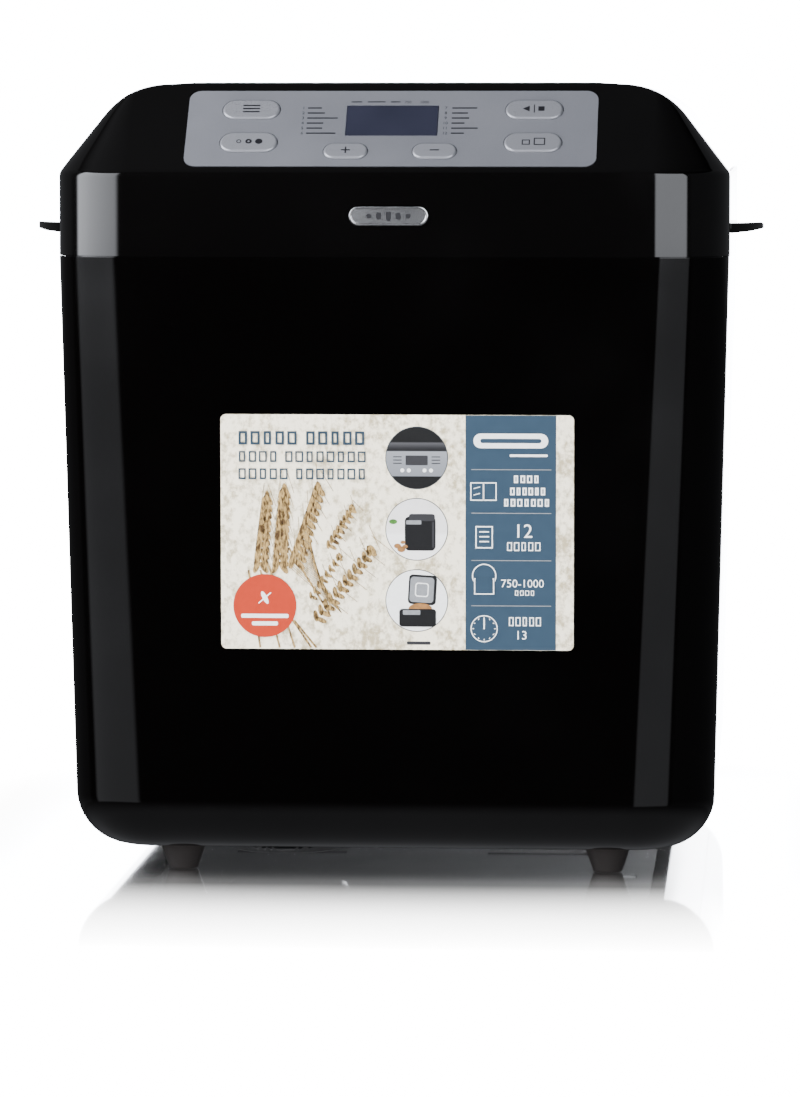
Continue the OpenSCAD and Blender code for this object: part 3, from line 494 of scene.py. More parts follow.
def make_finishes():
    """Every finish of the machine, by the frame's slot or the print's name."""
    colors = bpy.context.scene.bread_machine_colors
    return {
        "gloss_black": gloss_plastic("gloss_black", tuple(colors.casing)),
        "matt_black": grained("matt_black", (0.011, 0.011, 0.0115), 0.45, grain=1400,
                              depth=0.00004),
        "silver_fascia": paint_silver(),
        "silver_key": grained("silver_key", tuple(colors.keys), 0.3, 0.6, grain=5000,
                              depth=0.000004, tone=0.93, spread=0.05, **{
                                  "Coat Weight": 0.4, "Coat Roughness": 0.12}),
        "display_window": display_face(),
        "display_frame": grained("display_frame", (0.3, 0.36, 0.33), 0.4),
        "label_film": floury_paper(),
        "bright_emblem": grained("bright_emblem", (0.74, 0.74, 0.75), 0.2, 1.0, grain=4000,
                                 depth=0.000003, tone=0.95, spread=0.05),
        "foot_rubber": grained("foot_rubber", (0.0085, 0.007, 0.0065), 0.6, grain=2500,
                               depth=0.00006),
        "smoked_pane": smoked_pane(),
        "clear_glass": clear_glass(),
        "liner_aluminium": brushed("liner_aluminium", (0.72, 0.72, 0.71), 0.3, (1, 40, 40)),
        "silicone": grained("silicone", (0.045, 0.045, 0.046), 0.55, grain=2000),
        "oven_steel": brushed("oven_steel", (0.6, 0.6, 0.585), 0.3, (60, 60, 2)),
        "zinc_steel": grained("zinc_steel", (0.56, 0.57, 0.58), 0.33, 0.95, grain=260,
                              tone=0.75),
        "heater_sheath": grained("heater_sheath", (0.2, 0.175, 0.165), 0.42, 0.7, grain=500,
                                 tone=0.6),
        "ceramic": grained("ceramic", (0.82, 0.79, 0.72), 0.5, grain=900, tone=0.9),
        "cast_aluminium": grained("cast_aluminium", (0.52, 0.52, 0.51), 0.42, 0.9, grain=800,
                                  depth=0.00006, tone=0.85),
        "bronze": grained("bronze", (0.5, 0.36, 0.17), 0.32, 0.95, grain=1200, tone=0.75),
        "belt_rubber": grained("belt_rubber", (0.03, 0.03, 0.03), 0.6, grain=1500),
        "lamination_steel": laminations(),
        "copper_wire": winding(),
        "white_plastic": grained("white_plastic", (0.78, 0.77, 0.73), 0.35, grain=1500,
                                 tone=0.94),
        "circuit_board": board_green(),
        "nonstick_coating": nonstick(),
        "panel_ink": ink("panel_ink", (0.006, 0.006, 0.008)),
        "band_ink": ink("band_ink", tuple(colors.label_band), tone=0.94, grain=300),
        "white_ink": ink("white_ink", (0.82, 0.83, 0.83), tone=0.95),
        "slate_ink": ink("slate_ink", (0.016, 0.034, 0.055)),
        "orange_ink": ink("orange_ink", tuple(colors.label_badge), tone=0.94),
        "wheat_print": wheat_ink(),
        "ring_ink": ink("ring_ink", (0.03, 0.038, 0.045)),
        "inset_black": ink("inset_black", (0.0009, 0.0009, 0.0012), rough=0.5),
        "inset_silver": ink("inset_silver", (0.2, 0.21, 0.225), rough=0.5),
        "inset_grey": ink("inset_grey", (0.02, 0.02, 0.023), rough=0.5),
        "loaf_ink": ink("loaf_ink", (0.28, 0.13, 0.04), tone=0.7),
        "leaf_ink": ink("leaf_ink", (0.06, 0.2, 0.03), tone=0.6),
        "inset_panel": inset_panel_ink(),
        "inset_room": inset_room_ink(),
    }


FINISH = {}


def finish_of(name):
    """The finish of this name. All are made when the first is asked for."""
    if not FINISH:
        FINISH.update(make_finishes())
    return FINISH[name]


# ---- modelling ----

def object_mode():
    if bpy.context.object and bpy.context.object.mode != "OBJECT":
        bpy.ops.object.mode_set(mode="OBJECT")


def clear_selection():
    object_mode()
    bpy.ops.object.select_all(action="DESELECT")


def alone(piece):
    """Makes this piece the only selected and the active one, in object mode."""
    clear_selection()
    piece.select_set(True)
    bpy.context.view_layer.objects.active = piece


def edit(piece):
    alone(piece)
    bpy.ops.object.mode_set(mode="EDIT")


def pick(piece, test, kind="VERT"):
    """Selects vertices, edges or faces by their place and normal, and stays in edit mode."""
    edit(piece)
    bpy.ops.mesh.select_mode(type=kind)
    bpy.ops.mesh.select_all(action="DESELECT")
    object_mode()
    mesh = piece.data
    if kind == "VERT":
        for v in mesh.vertices:
            v.select = test(v.co, v.normal)
    elif kind == "EDGE":
        for e in mesh.edges:
            a, b = (mesh.vertices[i].co for i in e.vertices)
            e.select = test(a, b)
    else:
        for p in mesh.polygons:
            p.select = test(p.center, p.normal)
    bpy.ops.object.mode_set(mode="EDIT")


def new_plane(name, width, depth, x, y, z):
    """A rectangle laid flat, the start of a shell."""
    clear_selection()
    bpy.ops.mesh.primitive_plane_add(size=1, location=(0, 0, 0))
    piece = bpy.context.object
    piece.name = piece.data.name = name
    edit(piece)
    bpy.ops.mesh.select_all(action="SELECT")
    bpy.ops.transform.resize(value=(width, depth, 1))
    bpy.ops.transform.translate(value=(x, y, z))
    return piece


def round_corners(piece, test, radius, segments):
    pick(piece, lambda co, no: test(co))
    bpy.ops.mesh.bevel(affect="VERTICES", offset=radius, segments=segments, profile=0.5,
                       clamp_overlap=False)


def raise_plan(height, merge=0.0):
    """Draws the whole plan up into a closed solid, and leaves edit mode."""
    bpy.ops.mesh.select_all(action="SELECT")
    bpy.ops.mesh.extrude_region_move(TRANSFORM_OT_translate={"value": (0, 0, height)})
    bpy.ops.mesh.select_all(action="SELECT")
    if merge:
        bpy.ops.mesh.remove_doubles(threshold=merge)
    bpy.ops.mesh.normals_make_consistent(inside=False)
    object_mode()


def ring_stack(name, width, y0, y1, front_r, rear_r, levels, segments=14):
    """A closed shell drawn up from a rounded plan. Levels: height, side, front and rear
    inset, and where they change the radii of the front and rear corners."""
    z, side, front, rear = levels[0][:4]
    radii = [front_r, rear_r]
    middle = (y0 + y1) / 2
    piece = new_plane(name, width - 2 * side, y1 - y0 - front - rear, 0,
                      middle + (front - rear) / 2, z)
    round_corners(piece, lambda co: co.y < middle, front_r, segments)
    round_corners(piece, lambda co: co.y > middle + (y1 - y0) / 4 and (
        abs(abs(co.x) - (width / 2 - side)) < 1e-5), rear_r, segments)
    for level in levels[1:]:
        rise, moves = level[0] - z, (level[1] - side, level[2] - front, level[3] - rear)
        bpy.ops.mesh.select_mode(type="FACE")
        if level is levels[1]:
            bpy.ops.mesh.select_all(action="SELECT")
        else:
            pick(piece, lambda co, no: abs(co.z - z) < 1e-6 and no.z > 0.9, "FACE")
        bpy.ops.mesh.extrude_region_move(TRANSFORM_OT_translate={"value": (0, 0, rise)})
        z, side, front, rear = level[:4]
        for test, move in (
                (lambda co: co.x < 0, (moves[0], 0, 0)), (lambda co: co.x > 0, (-moves[0], 0, 0)),
                (lambda co: co.y < middle, (0, moves[1], 0)),
                (lambda co: co.y > middle, (0, -moves[2], 0))):
            if any(move):
                pick(piece, lambda co, no: abs(co.z - z) < 1e-6 and test(co))
                bpy.ops.transform.translate(value=move)
        for k, radius in enumerate(level[4:]):
            ratio = radius / radii[k]
            for sx in (-1, 1):
                at = (sx * (width / 2 - side), y1 - rear if k else y0 + front, z)
                pick(piece, lambda co, no: abs(co.z - z) < 1e-6 and co.x * sx > 0
                     and (co.y > middle) == bool(k))
                bpy.ops.transform.resize(value=(ratio, ratio, 1), center_override=at)
            radii[k] = radius
    bpy.ops.mesh.select_all(action="SELECT")
    bpy.ops.mesh.normals_make_consistent(inside=False)
    object_mode()
    return piece


def slab(name, z, height, width, y0, y1, radius, segments=10):
    return ring_stack(name, width, y0, y1, radius, radius,
                      [(z, 0, 0, 0), (z + height, 0, 0, 0)], segments)


def block(name, low, high):
    """A rectangular cutter between two corners."""
    piece = new_plane(name, high[0] - low[0], high[1] - low[1], (low[0] + high[0]) / 2,
                      (low[1] + high[1]) / 2, low[2])
    raise_plan(high[2] - low[2])
    return piece


def pill(name, width, length, bottom, top, segments=12):
    """An upright-sided pill around the origin, drawn from its plan."""
    piece = new_plane(name, width, length, 0, 0, bottom)
    round_corners(piece, lambda co: True, length / 2 - 1e-6, segments)
    raise_plan(top - bottom, 2e-6)
    return piece


def settle(piece, at=(0, 0, 0), turn=None):
    """Puts a piece's place into its mesh, so that its object stays at the origin."""
    alone(piece)
    piece.matrix_world = Matrix.Translation(at) @ (turn or Euler()).to_matrix().to_4x4()
    bpy.ops.object.transform_apply(location=True, rotation=True, scale=True)
    return piece


def new_cylinder(vertices, radius, depth, at, turn=(0, 0, 0)):
    clear_selection()
    bpy.ops.mesh.primitive_cylinder_add(vertices=vertices, radius=radius, depth=depth,
                                        location=at, rotation=turn)
    bpy.ops.object.transform_apply(location=True, rotation=True, scale=True)
    return bpy.context.object


def bisect(piece, at, normal):
    """Cuts away and closes the side of a piece that the normal points to."""
    edit(piece)
    bpy.ops.mesh.select_all(action="SELECT")
    bpy.ops.mesh.bisect(plane_co=at, plane_no=normal, use_fill=True, clear_outer=True)
    object_mode()


def cut(piece, *cutters, operation="DIFFERENCE"):
    for cutter in cutters:
        alone(piece)
        modifier = piece.modifiers.new("cut", "BOOLEAN")
        modifier.operation, modifier.object, modifier.solver = operation, cutter, "EXACT"
        bpy.ops.object.modifier_apply(modifier=modifier.name)
        bpy.data.objects.remove(cutter)
    return piece


def join(first, *others):
    alone(first)
    for other in others:
        other.select_set(True)
    bpy.ops.object.join()
    return first


def smooth(piece, bevel=0.0, segments=2, limit=40):
    """Rounds the sharp edges and shades the piece, with flat faces kept flat."""
    alone(piece)
    if bevel:
        rounding = piece.modifiers.new("edges", "BEVEL")
        rounding.width, rounding.segments = bevel, segments
        rounding.limit_method, rounding.angle_limit = "ANGLE", math.radians(limit)
        rounding.use_clamp_overlap, rounding.miter_outer = True, "MITER_SHARP"
        bpy.ops.object.modifier_apply(modifier=rounding.name)
    bpy.ops.object.shade_smooth_by_angle(angle=math.radians(32))
    weights = piece.modifiers.new("normals", "WEIGHTED_NORMAL")
    weights.mode, weights.weight, weights.keep_sharp = "FACE_AREA", 60, True
    bpy.ops.object.modifier_apply(modifier=weights.name)
    return piece


def finish_piece(piece, body, slot, *nodes):
    """Gives the piece the finish of its slot and its body, and hides the frame nodes that it
    stands for.
    """
    alone(piece)
    piece.data.materials.clear()
    piece.data.materials.append(finish_of(slot))
    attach(piece, body)
    if nodes:
        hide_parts(*nodes)
    return piece


def from_frame(node, body, slot, bevel=0.0, segments=2):
    """A smooth copy of a frame node: merged, its edges rounded and its curves shaded."""
    clear_selection()
    mesh = FRAME["nodes"][node].data.copy()
    piece = bpy.data.objects.new(node + "_piece", mesh)
    mesh.name = piece.name
    bpy.context.scene.collection.objects.link(piece)
    edit(piece)
    bpy.ops.mesh.select_all(action="SELECT")
    bpy.ops.mesh.remove_doubles(threshold=2e-6)
    bpy.ops.mesh.dissolve_limited(angle_limit=math.radians(0.3))
    object_mode()
    smooth(piece, bevel, segments)
    return finish_piece(piece, body, slot, node)


# ---- levels of the shells ----

def rear_inset(height):
    mm = height / MM
    return (6 + (0 if mm <= 12 else 20 * (1 - math.sqrt(1 - ((mm - 12) / 23) ** 2)))) * MM


def cap_level(height, side, rear=0.0, inside=0.0):
    shift = inside * (1 - math.cos(PANEL_SLOPE)) / math.sin(PANEL_SLOPE)
    return (SHOULDER_Z + height - inside, side + inside,
            height / math.tan(PANEL_SLOPE) + shift, rear + inside,
            max(BAND_R - side - inside, 2.5 * MM))


def cap_rise(rear=rear_inset, inside=0.0, first=0.0, steps=12):
    """Levels of the sloping cap: its straight chamfer, then the round into the crown."""
    levels = []
    for k in range(steps + 1):
        a = SIDE_SLOPE * (1 - k / steps)
        height = CHAMFER_H + CROWN_R * (math.cos(a) - math.cos(SIDE_SLOPE))
        side = CHAMFER_H / math.tan(SIDE_SLOPE) + CROWN_R * (math.sin(SIDE_SLOPE) - math.sin(a))
        levels.append(cap_level(height, side, rear(height), inside))
    low = [cap_level(h, h / math.tan(SIDE_SLOPE), rear(h), inside)
           for h in (first, 12 * MM, 16 * MM) if h >= first]
    return low + levels


def crown(levels, inside=0.0):
    """The last millimetre of the crown, a shallow dome on the last level."""
    z, side, front, rear = levels[-1][:4]
    return levels + [(z + CROWN_RISE * 0.55, side + 9 * MM, front + 8 * MM, rear + 9 * MM),
                     (z + CROWN_RISE * 0.85, side + 20 * MM, front + 18 * MM, rear + 20 * MM),
                     (CROWN_Z - inside - 1e-5, side + 34 * MM, front + 30 * MM,
                      rear + 34 * MM)]


def shoulder(reach=1.8 * MM, steps=5):
    """Levels that round the upright band into the sloping cap."""
    levels = []
    for k in range(steps + 1):
        t = k / steps
        z = reach * (t * t * math.sin(PANEL_SLOPE) - (1 - t) ** 2)
        inset = t * t * reach * math.cos(PANEL_SLOPE)
        side = t * t * reach * math.sin(PANEL_SLOPE) / math.tan(SIDE_SLOPE)
        levels.append((SHOULDER_Z + z, side, inset, side))
    return levels


def on_panel(piece):
    return settle(piece, PANEL_AT, PANEL_TURN)


def panel_pills(name, gap, bottom, top):
    """Cutters for all the keys, in the panel's frame."""
    pills = []
    for x, u, w, l, _, _ in KEYS:
        one = pill(name, (w + gap) * MM, (l + gap) * MM, bottom * MM, top * MM)
        settle(one, (x * MM, u * MM, 0))
        pills.append(one)
    return on_panel(join(*pills))


# ---- pieces ----

def make_casing():
    """Lower casing: drawn walls with a slight lean, a deep round underneath, slots behind."""
    height = SEAM_Z - BASE_Z
    side = CASING_STEP + height * math.tan(SIDE_DRAFT)
    front = CASING_STEP + height * math.tan(FRONT_DRAFT)
    top = SEAM_Z - 0.15 * MM
    corner = bpy.context.scene.bread_machine_sizes.corner
    foot_r = corner + 5 * MM
    piece = ring_stack("casing_shell", BODY_W, FRONT_Y, BACK_Y, foot_r, foot_r,
                       [(BASE_Z, side, front, front),
                        (top, CASING_STEP, CASING_STEP, CASING_STEP, corner, corner)],
                       18)
    pick(piece, lambda a, b: abs(a.z - BASE_Z) < 1e-6 and abs(b.z - BASE_Z) < 1e-6, "EDGE")
    bpy.ops.mesh.bevel(affect="EDGES", offset=20 * MM, segments=10, profile=0.5,
                       clamp_overlap=True)
    pick(piece, lambda a, b: abs(a.z - top) < 1e-6 and abs(b.z - top) < 1e-6, "EDGE")
    bpy.ops.mesh.bevel(affect="EDGES", offset=0.15 * MM, segments=2, profile=0.5)
    object_mode()
    w = 2 * (WALL + CASING_STEP)
    inner = ring_stack("inner", BODY_W - w, FRONT_Y + w / 2, BACK_Y - w / 2, corner - WALL,
                       corner - WALL,
                       [(BASE_Z + WALL, side - CASING_STEP + 12 * MM, front + 12 * MM,
                         front + 12 * MM),
                        (BASE_Z + 18 * MM, side - CASING_STEP, front, front),
                        (SEAM_Z + 1 * MM, 0, 0, 0)], 12)
    plate_low, plate_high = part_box("base_plate")
    lip = 3.5 * MM
    opening = slab("opening", BASE_Z - 1 * MM, WALL + 2 * MM,
                   plate_high.x - plate_low.x - 2 * lip + 0.4 * MM,
                   plate_low.y + lip - 0.2 * MM, plate_high.y - lip + 0.2 * MM, 12 * MM)
    slots = [block("slot", (-80 * MM, BACK_Y - 20 * MM, (60 + 8 * k) * MM),
                   (-20 * MM, BACK_Y + 5 * MM, (63.5 + 8 * k) * MM)) for k in range(7)]
    gland_x = (GLAND_LOW.x + GLAND_HIGH.x) / 2
    gland_z = (GLAND_LOW.z + GLAND_HIGH.z) / 2
    hole = new_cylinder(48, 8 * MM, 60 * MM, (gland_x, BACK_Y, gland_z), (math.pi / 2, 0, 0))
    cut(piece, inner, opening, join(*slots), hole)
    lip_outer = slab("casing_lip", SEAM_Z - 5 * MM, 9 * MM, BODY_W - 5.6 * MM,
                     FRONT_Y + 2.8 * MM, BACK_Y - 2.8 * MM, 23.5 * MM, 14)
    lip_inner = slab("lip_inner", SEAM_Z - 6 * MM, 11 * MM, BODY_W - 9 * MM,
                     FRONT_Y + 4.5 * MM, BACK_Y - 4.5 * MM, 21.5 * MM, 14)
    cut(lip_outer, lip_inner)
    smooth(piece)
    smooth(lip_outer, 0.3 * MM)
    join(piece, lip_outer)
    finish_piece(piece, "housing", "gloss_black", "lower_casing")


def make_top_housing():
    """Upright band, deck and sloping control housing, cut for the panel and the oven."""
    levels = [(SEAM_Z + rise * MM, inset * MM, inset * MM, inset * MM)
              for rise, inset in ((0, 0.18), (0.06, 0.05), (0.18, 0))]
    levels += shoulder()
    levels += cap_rise(rear=lambda h: 6 * MM, first=4 * MM)
    piece = ring_stack("top_housing_shell", BODY_W, FRONT_Y, BACK_Y, BAND_R, BAND_R,
                       levels, 18)
    big = 400 * MM
    behind = block("behind", (-big, SPLIT_Y, SHOULDER_Z), (big, big, big))
    inside = WALL
    band = ring_stack("band_room", BODY_W - 2 * inside, FRONT_Y + inside, BACK_Y - inside,
                      BAND_R - inside, BAND_R - inside,
                      [(SEAM_Z - 1 * MM, 0, 0, 0), (SHOULDER_Z - inside, 0, 0, 0)], 12)
    wedge_levels = [(SHOULDER_Z - 3 * inside, inside, inside, inside),
                    (SHOULDER_Z - inside, inside, inside, inside)]
    wedge_levels += cap_rise(rear=lambda h: 6 * MM, inside=inside, first=4 * MM, steps=6)
    wedge = ring_stack("wedge_room", BODY_W, FRONT_Y, BACK_Y, BAND_R - inside,
                       BAND_R - inside, wedge_levels, 10)
    bisect(wedge, (0, SPLIT_Y - inside, 0), (0, 1, 0))
    mouth = slab("mouth", SHOULDER_Z - 3 * inside, 5 * inside,
                 OVEN_HIGH.x - OVEN_LOW.x - 7 * MM, OVEN_LOW.y + 2.5 * MM,
                 OVEN_HIGH.y - 2.5 * MM, 31 * MM, 12)
    seat = new_plane("seat", 152.4 * MM, 39.4 * MM, 0, 19.5 * MM, -0.5 * MM)
    round_corners(seat, lambda co: True, 4.7 * MM, 8)
    raise_plan(5 * MM)
    on_panel(seat)
    keys = panel_pills("key_holes", 1, -8, 2)
    display = on_panel(block("display_hole", (-18 * MM, 14.75 * MM, -8 * MM),
                             (18 * MM, 32.25 * MM, 2 * MM)))
    cut(piece, behind, wedge, band, mouth, seat, keys, display)
    smooth(piece)
    finish_piece(piece, "housing", "gloss_black", "top_housing")


def make_lid():
    """Lid shell: the cap behind the control housing, with its front bevel and window."""
    levels = crown([cap_level(0, 0, 6 * MM)] + cap_rise(first=4 * MM))
    piece = ring_stack("lid_cover", BODY_W, FRONT_Y, BACK_Y, BAND_R, LID_REAR_R, levels, 18)
    inner_levels = [(SHOULDER_Z - 8 * MM, WALL, WALL, 6 * MM + WALL)]
    inner_levels += [cap_level(0, 0, 6 * MM, WALL)] + cap_rise(first=4 * MM, inside=WALL,
                                                               steps=6)
    room = ring_stack("lid_room", BODY_W, FRONT_Y, BACK_Y, BAND_R - WALL, LID_REAR_R - WALL,
                      inner_levels, 12)
    for target, front, low in ((piece, LID_FRONT_Y, LID_Z),
                               (room, LID_FRONT_Y + WALL, SHOULDER_Z - 7 * MM)):
        bisect(target, (0, front, 0), (0, -1, 0))
        bisect(target, (0, 0, low), (0, 0, -1))
    bisect(piece, (0, LID_FRONT_Y, CROWN_Z - 4 * MM), (0, -1, 1))
    opening = slab("opening", CROWN_Z - 20 * MM, 30 * MM, WINDOW_HIGH.x - WINDOW_LOW.x - 7 * MM,
                   WINDOW_LOW.y + 3.5 * MM, WINDOW_HIGH.y - 3.5 * MM, 14 * MM)
    step = slab("step", WINDOW_LOW.z, 30 * MM, WINDOW_HIGH.x - WINDOW_LOW.x + 1 * MM,
                WINDOW_LOW.y - 0.5 * MM, WINDOW_HIGH.y + 0.5 * MM, 18 * MM)
    hinge = block("hinge_room", (HINGE_LOW.x - 1 * MM, BACK_Y - 10.5 * MM, SHOULDER_Z - 1 * MM),
                  (HINGE_HIGH.x + 1 * MM, BACK_Y + 40 * MM, CROWN_Z + 10 * MM))
    cut(piece, room, opening, step, hinge)
    smooth(piece, 0.35 * MM, limit=36)
    finish_piece(piece, "lid", "gloss_black", "lid_shell")


def make_window():
    """Smoked pane set flush in the lid, with a rounded rim."""
    from_frame("lid_window", "lid", "smoked_pane", 0.5 * MM, 3)


def make_grips():
    for side in ("left", "right"):
        from_frame(side + "_grip", "housing", "gloss_black", 0.6 * MM, 4)


def make_keys():
    """Six pillow-edged keys, each with the stem that meets its switch."""
    key_edge = bpy.context.scene.bread_machine_sizes.key_edge
    for x, u, w, l, node, body in KEYS:
        piece = pill(node + "_cap", w * MM, l * MM, -1.8 * MM, 1 * MM, 16)
        pick(piece, lambda a, b: abs(a.z - 1 * MM) < 1e-6 and abs(b.z - 1 * MM) < 1e-6, "EDGE")
        bpy.ops.mesh.bevel(affect="EDGES", offset=key_edge, segments=6, profile=0.5)
        stem = new_cylinder(32, 2 * MM, 3.2 * MM, (0, 0, -3.4 * MM))
        smooth(piece)
        smooth(stem, 0.2 * MM)
        join(piece, stem)
        settle(piece, (x * MM, u * MM, 0))
        on_panel(piece)
        finish_piece(piece, body, "silver_key", node)
        label = Print(node + "_mark", ["panel_ink"])
        draw_key_mark(label, node)
        label.place(PANEL_AT + PANEL_TURN.to_matrix() @ Vector((x * MM, u * MM, 1.02 * MM)),
                    PANEL_TURN, body, "silver_key")


def draw_key_mark(sheet, node):
    """A generic symbol for each key."""
    if node == "menu_button":
        for v in (-1.6, 0, 1.6):
            sheet.bar(0, v, 6.4, 0.65, radius=0.3)
    elif node == "color_button":
        sheet.ring(-3.6, 0, 0.95, 0.6)
        sheet.ring(0, 0, 1.2, 0.45)
        sheet.disc(3.8, 0, 1.35)
    elif node == "plus_button":
        sheet.bar(0, 0, 3.4, 0.55)
        sheet.bar(0, 0, 0.55, 3.2, layer=0.2)
    elif node == "minus_button":
        sheet.bar(0, 0, 3.4, 0.55)
    elif node == "start_button":
        sheet.disc(-2.6, 0, 1.7, sides=3, turn=-math.pi / 2)
        sheet.bar(2.6, 0, 2.3, 2.3)
        sheet.bar(0, 0, 0.35, 4.2)
    else:
        sheet.frame(-2.6, -0.4, 2.6, 2.2, 0.4)
        sheet.frame(2.4, 0, 3.8, 3.2, 0.4)


class Print:
    """Flat printed shapes on one mesh, drawn in millimetres and then put in place."""

    def __init__(self, name, inks):
        clear_selection()
        mesh = bpy.data.meshes.new(name)
        self.piece = bpy.data.objects.new(name, mesh)
        bpy.context.scene.collection.objects.link(self.piece)
        for name_of_ink in inks:
            mesh.materials.append(finish_of(name_of_ink))
        self.inks = inks
        self.numbers = []
        edit(self.piece)

    def _end(self, x, y, layer, turn, color):
        if turn:
            bpy.ops.transform.rotate(value=turn, orient_axis="Z", center_override=(0, 0, 0))
        bpy.ops.transform.translate(value=(x * MM, y * MM, layer * LAYER * MM))
        self.piece.active_material_index = self.inks.index(color) if color else 0
        bpy.ops.object.material_slot_assign()

    def bar(self, x, y, w, h, color=None, layer=0.0, radius=0.0, turn=0.0):
        bpy.ops.mesh.select_all(action="DESELECT")
        bpy.ops.mesh.primitive_plane_add(size=MM)
        bpy.ops.transform.resize(value=(w, h, 1))
        if radius:
            bpy.ops.mesh.select_mode(type="VERT")
            bpy.ops.mesh.bevel(affect="VERTICES", offset=min(radius, w / 2.01, h / 2.01) * MM,
                               segments=4, profile=0.5)
        self._end(x, y, layer, turn, color)

    def disc(self, x, y, r, color=None, layer=0.0, squash=1.0, turn=0.0, sides=32):
        bpy.ops.mesh.select_all(action="DESELECT")
        bpy.ops.mesh.primitive_circle_add(vertices=sides, radius=r * MM, fill_type="NGON")
        if squash != 1.0:
            bpy.ops.transform.resize(value=(1, squash, 1))
        self._end(x, y, layer, turn, color)

    def ring(self, x, y, outer, inner, color=None, layer=0.0, sides=40):
        bpy.ops.mesh.select_all(action="DESELECT")
        bpy.ops.mesh.primitive_circle_add(vertices=sides, radius=outer * MM,
                                          fill_type="NOTHING")
        bpy.ops.mesh.extrude_region_move(TRANSFORM_OT_translate={"value": (0, 0, 0)})
        bpy.ops.transform.resize(value=(inner / outer, inner / outer, 1))
        bpy.ops.mesh.select_linked()
        self._end(x, y, layer, 0, color)

    def frame(self, x, y, w, h, line, color=None, layer=0.0):
        for sx, sy, bw, bh in ((0, h / 2, w + line, line), (0, -h / 2, w + line, line),
                               (w / 2, 0, line, h - line), (-w / 2, 0, line, h - line)):
            self.bar(x + sx, y + sy, bw, bh, color, layer)

    def line(self, x0, y0, x1, y1, width, color=None, layer=0.0):
        length = math.hypot(x1 - x0, y1 - y0)
        self.bar((x0 + x1) / 2, (y0 + y1) / 2, length + width * 0.6, width, color, layer,
                 turn=math.atan2(y1 - y0, x1 - x0))

    def words(self, x, y, letters, pitch, height, color, layer=1.0, weight=0.13):
        """A line of plain open boxes that fills the place of a line of print."""
        pen = height * weight
        for count in letters:
            for k in range(count):
                wide = pitch * (0.76, 0.6, 0.7)[(k + count) % 3]
                self.frame(x + pitch * 0.45, y, wide - pen, height - pen, pen, color, layer)
                x += pitch
            x += pitch * 0.5

    def number(self, text, x, y, size, color=None, layer=0.0):
        self.numbers.append((text, x, y, size, color, layer))

    def place(self, at, turn, body, slot):
        """Gives the print its thickness, then its place and body. Its slot is not used."""
        for text, x, y, size, color, layer in self.numbers:
            clear_selection()
            bpy.ops.object.text_add(location=(x * MM, y * MM, layer * LAYER * MM))
            digits = bpy.context.object
            digits.data.body, digits.data.size = text, size * MM
            digits.data.resolution_u = 3
            bpy.ops.object.convert(target="MESH")
            bpy.ops.object.transform_apply(location=True, rotation=True, scale=True)
            digits.data.materials.clear()
            digits.data.materials.append(finish_of(color or self.inks[0]))
            join(self.piece, digits)
        pick(self.piece, lambda co, no: no.z < 0, "FACE")
        bpy.ops.mesh.flip_normals()
        alone(self.piece)
        skin = self.piece.modifiers.new("ink", "SOLIDIFY")
        skin.thickness, skin.offset = 0.03 * MM, 1
        bpy.ops.object.modifier_apply(modifier=skin.name)
        settle(self.piece, at, turn)
        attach(self.piece, body)


def make_panel():
    """Silver fascia, display and the printed programme lists."""
    plate = new_plane("fascia_plate", 152 * MM, 39 * MM, 0, 19.5 * MM, -0.5 * MM)
    round_corners(plate, lambda co: True, 4.5 * MM, 10)
    raise_plan(0.8 * MM)
    on_panel(plate)
    opening = on_panel(block("display_opening", (-17.1 * MM, 15.65 * MM, -2 * MM),
                             (17.1 * MM, 31.35 * MM, 2 * MM)))
    cut(plate, panel_pills("key_openings", 0.3, -2, 2), opening)
    smooth(plate, 0.12 * MM)
    finish_piece(plate, "housing", "silver_fascia", "control_fascia")
    from_frame("display_lens", "housing", "display_window", 0.2 * MM, 2)
    sheet = Print("panel_print", ["panel_ink"])
    left = (5.2, 6.5, 11.4, 6.2, 5.9, 11.0)
    right = (9.3, 6.0, 6.5, 4.9, 9.9, 4.9)
    for k in range(6):
        v = 30.0 - 2.62 * k
        sheet.number(str(k + 1), -33.6, v - 0.6, 1.9)
        sheet.bar(-31.6 + left[k] / 2, v, left[k], 0.62, radius=0.2)
        sheet.number(str(k + 7), 19.3 if k < 3 else 18.8, v - 0.6, 1.9)
        sheet.bar(22.0 + right[k] / 2, v, right[k], 0.62, radius=0.2)
    for k, (x, w) in enumerate(((-13.6, 4.0), (-6.2, 6.6), (0.9, 3.6))):
        sheet.bar(x, 33.2, w, 0.5, radius=0.2)
    sheet.number("750", 4.2, 32.5, 1.7)
    sheet.number("1000", 9.9, 32.5, 1.7)
    sheet.place(PANEL_AT + PANEL_TURN.to_matrix() @ Vector((0, 0, 0.31 * MM)), PANEL_TURN,
                "housing", "silver_fascia")


